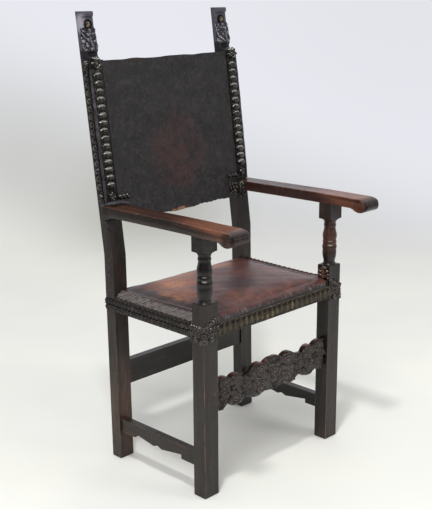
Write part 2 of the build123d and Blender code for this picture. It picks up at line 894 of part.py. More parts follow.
with BuildPart() as stuffing:
    add(stuffing_crown)
    span(
        (
            (-half_width, half_width),
            (seat_front, seat_back),
            (rail_bottom, cloth_top + stuffing_gap),
        ),
        mode=Mode.SUBTRACT,
    )
    clear_corners(leather)
keep(stuffing.part, "seat_stuffing")

with BuildPart() as seat_leather:
    span(((-half_width, half_width), (seat_front, seat_back), (seat_trim_bottom, seat_edge)))
    add(outer_crown)
    span(
        (
            (-rail_outer, rail_outer),
            (seat_front + leather, seat_back - leather),
            (seat_trim_bottom - leather, seat_edge - leather),
        ),
        mode=Mode.SUBTRACT,
    )
    add(inner_crown, mode=Mode.SUBTRACT)
    clear_corners(seam_gap)
keep(seat_leather.part, "seat_leather")

# ---- back leather ------------------------------------------------------------------------
notch_half = arm_inner - back_notch_gap
leather_half = half_width + leather
back_lip = up_slope(arm_top) + seam_gap
with BuildPart() as back_leather:
    with BuildSketch(back_plane):
        with BuildLine():
            Polyline(
                (-leather_half, back_lip),
                (-leather_half, up_slope(back_top)),
                (leather_half, up_slope(back_top)),
                (leather_half, back_lip),
                (notch_half, back_lip),
                (notch_half, up_slope(back_bottom)),
                (-notch_half, up_slope(back_bottom)),
                (-notch_half, back_lip),
                close=True,
            )
        make_face()
    extrude(amount=leather)
    with BuildSketch(back_plane):
        with Locations((0, (back_lip + up_slope(back_top)) / 2)):
            Rectangle(2 * leather_half, up_slope(back_top) - back_lip)
            Rectangle(chair_width, chair_height, mode=Mode.SUBTRACT)
    extrude(amount=-back_wrap)
keep(back_leather.part, "back_leather")

# ---- embossed trim -----------------------------------------------------------------------


def embossed(plane, length, width, pitch, boss, plain=0.0):
    """A brass strip along a plane's x direction with a row of raised bosses.

    boss is (along, across, rise), and plain is the length without bosses at each end."""
    along, across, rise = boss
    count = int((length - 2 * plain) // pitch)
    with BuildPart() as strip:
        with BuildSketch(plane):
            Rectangle(length, width)
        extrude(amount=trim_sheet)
        with BuildSketch(plane.offset(trim_sheet)):
            with GridLocations(pitch, width, count, 1):
                Rectangle(along, across)
        extrude(amount=rise, taper=boss_taper)
    return strip.part


seat_boss = (seat_boss_width, seat_boss_height, seat_boss_rise)
seat_trim_z = seat_trim_bottom + seat_trim_height / 2
front_trim = embossed(
    facing_front(0, leg_front, seat_trim_z), chair_width, seat_trim_height, seat_boss_pitch, seat_boss
)
keep(front_trim, "seat_trim_front")

side_trim_back = post_back(seat_trim_bottom)
side_trim = embossed(
    facing_left(half_width, (leg_front + side_trim_back) / 2, seat_trim_z),
    side_trim_back - leg_front,
    seat_trim_height,
    seat_boss_pitch,
    seat_boss,
)
keep_pair(side_trim, "seat_trim")

trim_bottom = arm_top + trim_lift
trim_length = up_slope(back_top) - up_slope(trim_bottom)
trim_middle = (trim_bottom + back_top) / 2
plain_end = 2 * rosette_radius + rosette_space
front_strip_plane = Plane(
    origin=on_back(half_width - back_trim_width / 2, trim_middle, leather).origin,
    x_dir=slope_up,
    z_dir=slope_out,
)
back_trim = embossed(
    front_strip_plane,
    trim_length,
    back_trim_width,
    back_boss_pitch,
    (back_boss_height, back_boss_width, back_boss_rise),
    plain_end,
)
keep_pair(back_trim, "back_trim")

edge_strip_plane = Plane(
    origin=on_back(leather_half, trim_middle, -back_wrap / 2).origin, x_dir=slope_up, z_dir=(1, 0, 0)
)
back_edge_trim = embossed(
    edge_strip_plane,
    trim_length,
    edge_trim_width,
    back_boss_pitch,
    (back_boss_height, edge_boss_width, seat_boss_rise),
    plain_end,
)
keep_pair(back_edge_trim, "back_edge_trim")

foot_trim_x = half_width - back_trim_width - foot_trim_length / 2 - seam_gap
foot_trim = embossed(
    on_back(foot_trim_x, trim_bottom + foot_trim_height / 2, leather),
    foot_trim_length,
    foot_trim_height,
    back_boss_height,
    (0.7 * back_boss_height, 0.75 * foot_trim_height, foot_trim_rise),
)
keep_pair(foot_trim, "back_foot_trim")

rosette_dome = (0.6 * rosette_radius, 0.42 * rosette_rise)
with BuildPart() as rosette:
    with BuildSketch(Plane.XZ):
        with BuildLine():
            Polyline((0, 0), (rosette_radius, 0), (rosette_radius, 0.3 * rosette_rise))
            ThreePointArc(
                (rosette_radius, 0.3 * rosette_rise),
                (0.8 * rosette_radius, 0.62 * rosette_rise),
                rosette_dome,
            )
            RadiusArc((0, rosette_rise), rosette_dome, dome_radius(0.58 * rosette_rise, rosette_dome[0]))
            Line((0, rosette_rise), (0, 0))
        make_face()
    revolve(axis=Axis.Z)

rosette_x = half_width - back_trim_width / 2
rosette_step = (rosette_radius + rosette_edge) * cos(radians(rake_angle))
rosettes = nail_group(
    rosette.part,
    [
        on_back(rosette_x, trim_bottom + rosette_step, leather + trim_sheet),
        on_back(rosette_x, back_top - rosette_step, leather + trim_sheet),
    ],
)
keep(rosettes, "corner_rosettes")

# Pointed leaf plates on the inner faces of the front posts, just above the seat.
with BuildPart() as leaf_plate:
    with BuildSketch(facing_right(leg_inner, leg_y, leaf_plate_bottom)):
        with BuildLine():
            ThreePointArc(
                (-leaf_plate_width / 2, 0),
                (-0.4 * leaf_plate_width, 0.6 * leaf_plate_height),
                (0, leaf_plate_height),
            )
            ThreePointArc(
                (0, leaf_plate_height),
                (0.4 * leaf_plate_width, 0.6 * leaf_plate_height),
                (leaf_plate_width / 2, 0),
            )
            Line((leaf_plate_width / 2, 0), (-leaf_plate_width / 2, 0))
        make_face()
    extrude(amount=leaf_plate_thickness)
keep_pair(leaf_plate.part, "leaf_plate")

# ---- nails -------------------------------------------------------------------------------
tack = nail(tack_head, 0.3 * tack_head)
small_nail = nail(nail_head, 0.3 * nail_head)
large_nail = nail(large_nail_head, 0.3 * large_nail_head)
finial_nail = nail(finial_nail_head, 0.3 * finial_nail_head)

finial_nail_z = chair_height - finial_nail_drop
finial_nail_plane = Plane(
    origin=(post_x, post_back(finial_nail_z) - neck_depth, finial_nail_z), x_dir=(1, 0, 0), z_dir=slope_out
)
keep(nail_group(finial_nail, [finial_nail_plane]), "finial_nails")

# Rivets that stiffen the bottom corners of the back leather, in two columns beside each arm.
rivet_planes = [
    on_back(
        notch_half - rivet_margin - column * rivet_column_pitch,
        back_bottom + rivet_margin + row * rivet_row_pitch,
        leather,
    )
    for row in range(rivet_rows)
    for column in range(2)
]
keep(nail_group(nail(tack_head, 0.3 * tack_head, 0.8 * leather), rivet_planes), "back_rivets")

arm_nail_planes = [facing_right(arm_inner, arm_rear_y - 1.6 * arm_rosette_radius, arm_rear_z)]
keep(nail_group(nail(2 * arm_rosette_radius, 0.5 * arm_rosette_radius), arm_nail_planes), "arm_rosettes")

leg_nail_z = seat_trim_bottom + seat_trim_height + leg_nail_lift
leg_nail_planes = [
    facing_front(leg_x - leg_nail_spread, leg_front, leg_nail_z),
    facing_front(leg_x, leg_front, leg_nail_z + 0.4 * leg_nail_spread),
    facing_front(leg_x + leg_nail_spread, leg_front, leg_nail_z),
]
keep(nail_group(small_nail, leg_nail_planes), "leg_nails")

seat_nail_count = int(post_inner // seat_nail_pitch)
seat_nail_planes = [
    Plane(
        origin=((number + 0.5) * seat_nail_pitch, seat_back, seat_trim_z), x_dir=(-1, 0, 0), z_dir=(0, 1, 0)
    )
    for number in range(seat_nail_count)
]
keep(nail_group(small_nail, seat_nail_planes), "seat_back_nails")

post_tack_planes = [
    facing_left(half_width, post_front(height) + 0.45 * post_depth, height)
    for height in outer_tack_heights
]
post_tack_planes += [
    facing_right(post_inner, post_front(height) + 0.5 * post_depth, height) for height in inner_tack_heights
]
keep(nail_group(tack, post_tack_planes), "post_tacks")

post_nail_planes = [facing_left(half_width, post_front(post_nail_z) + 0.5 * post_depth, post_nail_z)]
keep(nail_group(large_nail, post_nail_planes), "post_nails")
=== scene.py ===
"""A tall leather armchair: walnut frame, carved front stretcher, embossed brass trim.

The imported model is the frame. Lengths here are millimetres unless a name says otherwise, and
they become metres where a mesh is made. +Z is up, the chair faces -Y, +X is the sitter's left.
"""

import json
import math

import bmesh
import bpy
import numpy as np
from mathutils import Matrix, Vector


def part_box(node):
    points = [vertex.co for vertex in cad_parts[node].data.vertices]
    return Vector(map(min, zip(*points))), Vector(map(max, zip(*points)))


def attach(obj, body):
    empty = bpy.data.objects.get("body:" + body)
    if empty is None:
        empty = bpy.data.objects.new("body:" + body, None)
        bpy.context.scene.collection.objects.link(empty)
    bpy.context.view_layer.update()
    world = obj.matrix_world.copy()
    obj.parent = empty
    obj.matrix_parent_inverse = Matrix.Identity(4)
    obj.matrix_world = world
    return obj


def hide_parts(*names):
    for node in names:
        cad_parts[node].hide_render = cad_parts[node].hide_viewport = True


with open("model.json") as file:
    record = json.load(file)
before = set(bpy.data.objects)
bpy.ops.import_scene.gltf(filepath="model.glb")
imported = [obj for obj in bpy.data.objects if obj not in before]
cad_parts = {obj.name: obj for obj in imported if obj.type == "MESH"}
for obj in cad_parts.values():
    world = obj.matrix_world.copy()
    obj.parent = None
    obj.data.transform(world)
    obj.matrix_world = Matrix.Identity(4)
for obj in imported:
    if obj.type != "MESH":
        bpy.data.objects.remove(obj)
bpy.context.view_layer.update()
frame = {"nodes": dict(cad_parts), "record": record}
NODES = frame["nodes"]
METRE = 0.001  # one millimetre, in metres

# ---- sizes shared with the frame ------------------------------------------------------------
HALF_WIDTH = 278.0  # outer faces of the legs
LEG_INNER = 228.0
POST_INNER = 231.0
LEG_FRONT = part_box("front_post_left")[0].y / METRE
LEG_BACK = LEG_FRONT + 42.0
LEG_X, LEG_Y = 253.0, LEG_FRONT + 21.0
POST_DEPTH = 36.0
POST_SETBACK = 344.5  # from the fronts of the legs to the fronts of the rear posts, at the floor
POST_LEAN = 8.0  # how far the posts have gone back by the bend
BEND_Z = 600.0
RAKE = math.radians(7.6)
LEATHER = 3.0
ARM_TOP = 747.0
BACK_BOTTOM, BACK_TOP = 694.0, 1125.0
NOSE = LEG_FRONT - 119.0  # tips of the arms
SIDES = (("left", 1), ("right", -1))


def post_front(z):
    """y of the rear posts' front faces: a slight lean, then the rake above the bend."""
    z = np.asarray(z, float)
    lean = POST_LEAN * np.minimum(z, BEND_Z) / BEND_Z
    return LEG_FRONT + POST_SETBACK + lean + np.tan(RAKE) * np.maximum(z - BEND_Z, 0)


SEAT_BACK = float(post_front(458)) + 29.0
SLOPE_UP = np.array([0, math.sin(RAKE), math.cos(RAKE)])
SLOPE_OUT = np.array([0, -math.cos(RAKE), math.sin(RAKE)])
BACK_ORIGIN = np.array([0, float(post_front(ARM_TOP)), ARM_TOP])


def up_slope(z):
    """Distance up the raked plane of the back from the tops of the arms to height z."""
    return (z - ARM_TOP) / math.cos(RAKE)


# ---- shapes as whole arrays ---------------------------------------------------------------


def smooth(low, high, value):
    """0 below low, 1 above high, and an S curve between them."""
    share = np.clip((value - low) / (high - low), 0, 1)
    return share * share * (3 - 2 * share)


def dome(*shares):
    """Height share of a dome at these shares of its half widths: the root of 1 less the sum of
    their squares, and 0 outside."""
    left = 1
    for share in shares:
        left = left - share**2
    return np.sqrt(np.clip(left, 0, 1))


def ripple(a, b, length, seed):
    """Gentle unevenness, mostly from -1 to 1: a quarter of the sum of eight plane waves of
    about this length, in directions drawn from the seed."""
    draw = np.random.default_rng(seed)
    angle, phase = draw.uniform(0, 2 * np.pi, (2, 8))
    size = 2 * np.pi / (length * draw.uniform(0.6, 1.8, 8))
    waves = [np.sin(s * (a * np.cos(g) + b * np.sin(g)) + p) for s, g, p in zip(size, angle, phase)]
    return sum(waves) / 4


def grid_quads(rows, columns, round_rows=False, round_columns=False, first=0):
    """Faces of a grid of points numbered row by row, closed on itself where asked."""
    row, column = np.meshgrid(
        np.arange(rows if round_rows else rows - 1),
        np.arange(columns if round_columns else columns - 1),
        indexing="ij",
    )
    next_row, next_column = (row + 1) % rows, (column + 1) % columns
    quads = [row * columns + column, next_row * columns + column]
    quads += [next_row * columns + next_column, row * columns + next_column]
    return first + np.stack(quads, -1).reshape(-1, 4)


def rim_quads(rows, columns):
    """Faces that join the edges of a front grid to those of a back grid numbered after it."""
    numbers = np.arange(rows * columns).reshape(rows, columns)
    loop = np.concatenate(
        [numbers[0, :-1], numbers[:-1, -1], numbers[-1, :0:-1], numbers[:0:-1, 0]]
    )
    after = np.roll(loop, -1)
    return np.stack([loop, after, after + rows * columns, loop + rows * columns], -1)


def slab(front, back):
    """A closed shell between two grids of points with the same rows and columns."""
    rows, columns = front.shape[:2]
    points = np.concatenate([front.reshape(-1, 3), back.reshape(-1, 3)])
    near = grid_quads(rows, columns)
    far = grid_quads(rows, columns, first=rows * columns)
    return points, np.concatenate([near, far, rim_quads(rows, columns)])


def tube(sections):
    """A closed body through a row of closed sections, its two ends drawn to their middles."""
    rows, columns = sections.shape[:2]
    middles = [sections[end].mean(0)[None] for end in (0, -1)]
    points = np.concatenate([sections.reshape(-1, 3), *middles])
    quads = grid_quads(rows, columns, round_columns=True)
    around = np.arange(columns)
    after = np.roll(around, -1)
    last = (rows - 1) * columns
    start = np.stack([around, after, np.full(columns, rows * columns)], -1)
    end = np.stack([last + after, last + around, np.full(columns, rows * columns + 1)], -1)
    return points, [*quads.tolist(), *start.tolist(), *end.tolist()]


def joined(*parts):
    """Several (points, faces) bodies as one."""
    points, faces, first = [], [], 0
    for part_points, part_faces in parts:
        points.append(part_points)
        faces += [[first + int(corner) for corner in face] for face in part_faces]
        first += len(part_points)
    return np.concatenate(points), faces


MERGE = 2e-6  # points this near each other are one, in metres
SMOOTH_BELOW = math.radians(50)  # edges sharper than this stay crisp


def piece(name, shape, finish, replaces=(), relief=None):
    """A finished piece from (points in mm, faces): outward faces, on the chair's one body.
    relief is how far each point stands up, from 0 to 1, for the finish to read."""
    points, faces = shape
    faces = faces if isinstance(faces, list) else faces.tolist()
    mesh = bpy.data.meshes.new(name)
    mesh.from_pydata((np.asarray(points) * METRE).tolist(), [], faces)
    if relief is not None:
        raised = mesh.attributes.new("relief", "FLOAT", "POINT")
        raised.data.foreach_set("value", np.clip(relief, 0, 1).astype(np.float32).ravel())
    tidy = bmesh.new()
    tidy.from_mesh(mesh)
    bmesh.ops.remove_doubles(tidy, verts=tidy.verts, dist=MERGE)
    bmesh.ops.recalc_face_normals(tidy, faces=tidy.faces)
    tidy.to_mesh(mesh)
    tidy.free()
    mesh.polygons.foreach_set("use_smooth", np.full(len(mesh.polygons), True))
    mesh.set_sharp_from_angle(angle=SMOOTH_BELOW)
    made = bpy.data.objects.new(name, mesh)
    bpy.context.scene.collection.objects.link(made)
    mesh.materials.append(finish)
    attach(made, "root")
    if replaces:
        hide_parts(*replaces)
    return made


FOOT_ROUND = 5.5  # how far edges are rounded where they meet the floor


def eased(member, name, finish, radius):
    """A CAD node with its sharp edges rounded to this radius, and more where it meets the
    floor, as handling and dragging leave them."""
    mesh = NODES[member].data.copy()
    mesh.name = name
    tidy = bmesh.new()
    tidy.from_mesh(mesh)
    bmesh.ops.remove_doubles(tidy, verts=tidy.verts, dist=MERGE)
    flat = math.radians(0.4)
    bmesh.ops.dissolve_limit(tidy, angle_limit=flat, verts=tidy.verts, edges=tidy.edges)
    weight = tidy.edges.layers.float.new("bevel_weight_edge")
    for edge in tidy.edges:
        if edge.calc_face_angle(0) > math.radians(40):
            on_floor = max(corner.co.z for corner in edge.verts) < METRE
            edge[weight] = 1.0 if on_floor else radius / FOOT_ROUND
    tidy.to_mesh(mesh)
    tidy.free()
    mesh.polygons.foreach_set("use_smooth", np.full(len(mesh.polygons), True))
    mesh.set_sharp_from_angle(angle=math.radians(35))
    mesh.materials.clear()
    mesh.materials.append(finish)
    made = bpy.data.objects.new(name, mesh)
    bpy.context.scene.collection.objects.link(made)
    bevel = made.modifiers.new("worn_edges", "BEVEL")
    bevel.width = FOOT_ROUND * METRE
    bevel.segments = 3
    bevel.limit_method = "WEIGHT"
    bevel.harden_normals = True
    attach(made, "root")
    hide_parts(member)
    return made


def frame_points(origin, along, across, out, a, b, height):
    """Points a along and b across a plane, standing this height out of it."""
    return origin + a[..., None] * along + b[..., None] * across + height[..., None] * out


# ---- materials ---------------------------------------------------------------------------


def linear(hex_colour):
    """sRGB hex to linear RGBA: the standard curve, value by value."""
    values = [int(hex_colour[i : i + 2], 16) / 255 for i in (0, 2, 4)]
    return [v / 12.92 if v <= 0.04045 else ((v + 0.055) / 1.055) ** 2.4 for v in values] + [1.0]


def node(tree, kind, inputs=None, out=0, **settings):
    """Add one shader node: its settings by name, its inputs as values or as the sockets linked
    into them. Gives back the output asked for."""
    made = tree.nodes.new(f"ShaderNode{kind}")
    for name, value in settings.items():
        setattr(made, name, value)
    for name, value in (inputs or {}).items():
        if isinstance(value, bpy.types.NodeSocket):
            tree.links.new(value, made.inputs[name])
        else:
            made.inputs[name].default_value = value
    return made.outputs[out]


def started(name):
    """A new material: its own self, its node tree, its shader, and Object coordinates."""
    made = bpy.data.materials.new(name)
    made.use_nodes = True
    tree = made.node_tree
    return made, tree, tree.nodes["Principled BSDF"].inputs, node(tree, "TexCoord", out="Object")


def coats(tree, ground, *layers):
    """Colours laid over each other. A layer is (pattern, start, full, strength, colour): it
    begins to show where the pattern passes start, and covers by its strength from full on."""
    colour = linear(ground)
    for pattern, start, full, strength, hex_colour in layers:
        share = {"Value": pattern, "From Min": start, "From Max": full, "To Max": strength}
        share = node(tree, "MapRange", share, interpolation_type="SMOOTHSTEP")
        mixed = {0: share, 6: colour, 7: linear(hex_colour)}
        colour = node(tree, "Mix", mixed, out=2, data_type="RGBA")
    return colour


def finished(made, tree, colour, gloss, *unevenness):
    """Link up a finish: its colour; gloss as (pattern, low, high) roughness; and unevenness as
    (pattern, depth in mm), laid over each other."""
    shader = tree.nodes["Principled BSDF"].inputs
    tree.links.new(colour, shader["Base Color"])
    pattern, low, high = gloss
    roughness = {"Value": pattern, "From Min": 0.3, "From Max": 0.7, "To Min": low, "To Max": high}
    tree.links.new(node(tree, "MapRange", roughness), shader["Roughness"])
    normal = node(tree, "NewGeometry", out="Normal")
    for pattern, depth in unevenness:
        normal = node(tree, "Bump", {"Height": pattern, "Distance": depth * METRE, "Normal": normal})
    tree.links.new(normal, shader["Normal"])
    return made


def spread(tree, place, centre, reach):
    """1 at a place on the object, given in mm, and falling to 0 this far from it each way."""
    start = [-c / r for c, r in zip(centre, reach)]
    scaled = {"Vector": place, "Location": start, "Scale": [1000 / r for r in reach]}
    away = node(tree, "VectorMath", {0: node(tree, "Mapping", scaled)}, out="Value", operation="LENGTH")
    fall = {"Value": away, "From Min": 1.0, "From Max": 0.1}
    return node(tree, "MapRange", fall, interpolation_type="SMOOTHSTEP")


# Patterns are drawn out 16 times along the grain.
GRAIN = {"x": (1 / 16, 1, 1), "y": (1, 1 / 16, 1), "z": (1, 1, 1 / 16)}


def aged_walnut(name, grain, ground="191513", brown="2e2621", red="38201a", edge="86664b"):
    """Walnut gone nearly black with age, hand planed and waxed. Fibres and open pores run with
    the grain, handling has rubbed edges to light brown and patches to red, and hollows and the
    corners where parts meet are darker, as dirt and as painted shade. The finials and the right
    turning are blackest, and the left turning reddest; at the right turning's cap, under the
    arm, the black is partly painted shade. Above the foot of their leaves the finials are a
    lavender grey that is a painted reflection. The rings of the turnings, where they face up and
    ahead to the right, carry a painted highlight, and the outer face of the right finial's top a
    painted glint; being colour, these stay where they are under any light. Pores are 0.3 mm wide
    on the wood and drawn 1.2 mm wide, so that they show."""
    made, tree, shader, place = started(name)
    shader["Specular IOR Level"].default_value = 0.36
    with_grain = node(tree, "Mapping", {"Vector": place, "Scale": GRAIN[grain]})
    fibre = node(tree, "TexNoise", {"Vector": with_grain, "Scale": 1000 / 3.5, "Detail": 5, "Roughness": 0.65})
    pores = node(tree, "TexNoise", {"Vector": with_grain, "Scale": 1000 / 1.2, "Detail": 2})
    board = node(tree, "TexNoise", {"Vector": with_grain, "Scale": 1000 / 22, "Detail": 3})
    patches = node(tree, "TexNoise", {"Vector": place, "Scale": 1000 / 90, "Detail": 4, "Roughness": 0.6})
    dents = node(tree, "TexNoise", {"Vector": place, "Scale": 1000 / 14, "Detail": 4, "Roughness": 0.6})
    inner = {"Distance": 3.0 * METRE}
    edges = node(tree, "AmbientOcclusion", inner, out="AO", samples=8, inside=True, only_local=True)
    edges = node(tree, "Math", {0: patches, 1: -1.2, 2: edges}, operation="MULTIPLY_ADD")
    # Darker where other surfaces come near: dirt, and painted shade in hollows and corners.
    open_air = node(tree, "AmbientOcclusion", {"Distance": 14 * METRE}, out="AO", samples=8)
    turning = spread(tree, place, (LEG_X, LEG_Y, 620), (60, 60, 95))
    turning = node(tree, "Math", {0: turning, 1: dents}, operation="ADD")
    height = node(tree, "SeparateXYZ", {0: place}, out="Z")
    # Rings of the turnings that face up, ahead and to the right get a painted highlight.
    facing = {0: node(tree, "NewGeometry", out="Normal"), 1: (-0.5, -0.5, 0.7)}
    rings = node(tree, "VectorMath", facing, out="Value", operation="DOT_PRODUCT")
    for low, high in ((0.568, 0.576), (0.622, 0.612)):  # from below and from above them
        within = node(tree, "MapRange", {"Value": height, "From Min": low, "From Max": high})
        rings = node(tree, "Math", {0: rings, 1: within}, operation="MULTIPLY")
    # Adding this keeps the rubbed edges to below the seat.
    clear = node(tree, "MapRange", {"Value": height, "From Min": 0.43, "From Max": 0.46})
    edges = node(tree, "Math", {0: edges, 1: clear}, operation="ADD")
    # A painted glint on the outer face of the right finial's top.
    glint = spread(tree, place, (-HALF_WIDTH, float(post_front(1222)) + 18, 1222), (34, 36, 40))
    # The right turning blackened; at its cap under the arm this is partly painted shade.
    black_and_shaded_turning = spread(tree, place, (-LEG_X, LEG_Y, 640), (60, 60, 160))
    rear_foot = spread(tree, place, (-LEG_X, LEG_Y + 345, 150), (60, 60, 330))
    rear_foot = node(tree, "Math", {0: rear_foot, 1: fibre}, operation="MULTIPLY")
    colour = coats(
        tree, ground,
        (board, 0.35, 0.7, 0.8, brown),
        (patches, 0.5, 0.72, 0.6, red),
        (turning, 0.85, 1.4, 0.75, "4e2a22"),
        (rear_foot, 0.12, 0.55, 0.85, "5c4337"),
        (fibre, 0.5, 0.72, 0.5, "443b34"),
        (fibre, 0.45, 0.3, 0.6, "100e0c"),
        (edges, 0.12, -0.22, 0.9, edge),
        # Blacker right turning, and painted shade at its cap under the arm.
        (black_and_shaded_turning, 0.1, 0.6, 0.8, "0d0c0c"),
        (height, 1.106, 1.114, 0.85, "1d1c21"),
        # Above the foot of the finials' leaves: a lavender grey painted reflection.
        (height, 1.148, 1.156, 0.85, "4c4953"),
        # Painted glint on the right finial.
        (glint, 0.1, 0.8, 0.8, "9c98a6"),
        # Painted highlight on the rings of the turnings.
        (rings, 0.82, 0.93, 0.85, "a09893"),
        (open_air, 0.75, 0.25, 0.75, "0e0c0b"),
    )
    return finished(made, tree, colour, (patches, 0.26, 0.46), (dents, 0.9), (fibre, 0.3), (pores, 0.12))


def handled_walnut(name):
    """Arms of the same walnut: hands have polished the tops through the black to red brown,
    streaked with the grain and glossy, and bare tan along the edges, while the sides stay
    dark. The left arm is the redder one."""
    made, tree, shader, place = started(name)
    with_grain = node(tree, "Mapping", {"Vector": place, "Scale": GRAIN["y"]})
    fibre = node(tree, "TexNoise", {"Vector": with_grain, "Scale": 1000 / 4, "Detail": 5, "Roughness": 0.65})
    pores = node(tree, "TexNoise", {"Vector": with_grain, "Scale": 1000 / 1.2, "Detail": 2})
    streaks = node(tree, "TexNoise", {"Vector": with_grain, "Scale": 1000 / 13, "Detail": 4, "Roughness": 0.6})
    dents = node(tree, "TexNoise", {"Vector": place, "Scale": 1000 / 16, "Detail": 4, "Roughness": 0.6})
    normal = node(tree, "NewGeometry", out="Normal")
    upward = node(tree, "SeparateXYZ", {0: normal}, out="Z")
    ahead = node(tree, "SeparateXYZ", {0: normal}, out="Y")
    top = node(tree, "Math", {0: upward, 1: 0.5, 2: streaks}, operation="MULTIPLY_ADD")
    along = node(tree, "SeparateXYZ", {0: place}, out="Y")
    behind_tip = {"Value": along, "From Min": (NOSE + 6) * METRE, "From Max": (NOSE + 44) * METRE}
    tip = node(tree, "MapRange", behind_tip)
    front = node(tree, "MapRange", {"Value": along, "From Min": 0.02, "From Max": -0.2})
    front = node(tree, "Math", {0: front, 1: tip}, operation="MULTIPLY")
    ahead_top = node(tree, "Math", {0: front, 1: top}, operation="MULTIPLY")
    nose = spread(tree, place, (0, NOSE + 16, 724), (700, 46, 60))
    nose = node(tree, "Math", {0: nose, 1: dents}, operation="MULTIPLY")
    inner = {"Distance": 3.4 * METRE}
    edges = node(tree, "AmbientOcclusion", inner, out="AO", samples=8, inside=True, only_local=True)
    edges = node(tree, "Math", {0: edges, 1: dents}, operation="SUBTRACT")
    left = node(tree, "SeparateXYZ", {0: place}, out="X")
    # Adding this leaves the edges dark at the rear ends.
    rear = node(tree, "MapRange", {"Value": along, "From Min": 0.09, "From Max": 0.14})
    edges = node(tree, "Math", {0: edges, 1: rear}, operation="ADD")
    # Darker where other surfaces come near: dirt, and painted shade in hollows and corners.
    open_air = node(tree, "AmbientOcclusion", {"Distance": 14 * METRE}, out="AO", samples=8)
    colour = coats(
        tree, "1d1816",
        (fibre, 0.4, 0.7, 0.7, "2e2621"),
        (left, -0.05, 0.05, 0.6, "3c211c"),
        (nose, 0.2, 0.45, 0.9, "5a3526"),
        (top, 0.72, 0.95, 0.92, "3b251d"),
        (top, 0.98, 1.12, 0.35, "6e4738"),
        (ahead_top, 0.25, 0.9, 0.92, "7c4f3b"),
        (fibre, 0.44, 0.3, 0.65, "1f1410"),
        (ahead, -0.25, -0.7, 0.95, "1b1515"),
        (nose, 0.36, 0.48, 0.6, "4a2c26"),
        (edges, 0.36, 0.04, 0.9, "a87a58"),
        (open_air, 0.75, 0.25, 0.75, "100d0b"),
    )
    shader["Specular IOR Level"].default_value = 0.24
    shader["Coat Weight"].default_value = 0.08
    shader["Coat Roughness"].default_value = 0.2
    return finished(made, tree, colour, (dents, 0.24, 0.4), (dents, 0.9), (fibre, 0.25), (pores, 0.1))


def carved_walnut(name):
    """Carved walnut: old wax and dirt blacken the ground and the cuts, the crests are rubbed
    brown, and tops that boots and dusters reach are polished red, the palest of them with a
    painted highlight. The finials are black, with a painted highlight on their leaves' crests."""
    made, tree, _, place = started(name)
    raised = node(tree, "Attribute", out="Fac", attribute_name="relief")
    with_grain = node(tree, "Mapping", {"Vector": place, "Scale": GRAIN["x"]})
    fibre = node(tree, "TexNoise", {"Vector": with_grain, "Scale": 1000 / 3, "Detail": 4, "Roughness": 0.6})
    patches = node(tree, "TexNoise", {"Vector": place, "Scale": 1000 / 60, "Detail": 3})
    chips = node(tree, "TexNoise", {"Vector": place, "Scale": 1000 / 5, "Detail": 3, "Roughness": 0.6})
    upward = node(tree, "SeparateXYZ", {0: node(tree, "NewGeometry", out="Normal")}, out="Z")
    rubs = node(tree, "TexNoise", {"Vector": place, "Scale": 1000 / 34, "Detail": 3, "Roughness": 0.6})
    height = node(tree, "SeparateXYZ", {0: place}, out="Z")
    reached = node(tree, "MapRange", {"Value": height, "From Min": 0.29, "From Max": 0.315})
    top = node(tree, "Math", {0: upward, 1: reached}, operation="MULTIPLY")
    top = node(tree, "Math", {0: top, 1: rubs}, operation="ADD")
    crest = node(tree, "Math", {0: chips, 1: 0.5, 2: raised}, operation="MULTIPLY_ADD")
    finial = node(tree, "MapRange", {"Value": height, "From Min": 1.12, "From Max": 1.13})
    # Painted highlight on the crests of the finials' leaves.
    finial_crest_highlight = node(tree, "Math", {0: finial, 1: crest}, operation="MULTIPLY")
    colour = coats(
        tree, "0e0b0a",
        (crest, 0.45, 0.95, 1.0, "2b2320"),
        (crest, 1.0, 1.3, 0.75, "5c4e45"),
        (fibre, 0.5, 0.3, 0.5, "15110f"),
        (top, 1.3, 1.5, 0.65, "4f2d27"),
        # The palest upward tops: polish with a painted highlight.
        (top, 1.5, 1.6, 0.5, "8a6a5c"),
        (finial, 0, 1, 0.8, "1b191d"),
        # Painted highlight on the finials' leaf crests.
        (finial_crest_highlight, 0.7, 1.2, 0.75, "8d8995"),
    )
    return finished(made, tree, colour, (patches, 0.2, 0.34), (chips, 0.9), (fibre, 0.3))


def started_hide(name, pebble_mm):
    """The start of a leather: with its pebbled grain, its soft creases and its unevenness."""
    made, tree, shader, place = started(name)
    pebble = node(tree, "TexVoronoi", {"Vector": place, "Scale": 1000 / pebble_mm})
    folded = {"Vector": place, "Scale": 1000 / 26, "Detail": 6, "Roughness": 0.68, "Distortion": 0.8}
    creases = node(tree, "TexNoise", folded)
    uneven = node(tree, "TexNoise", {"Vector": place, "Scale": 1000 / 48, "Detail": 4, "Roughness": 0.6})
    return made, tree, shader, place, pebble, creases, uneven


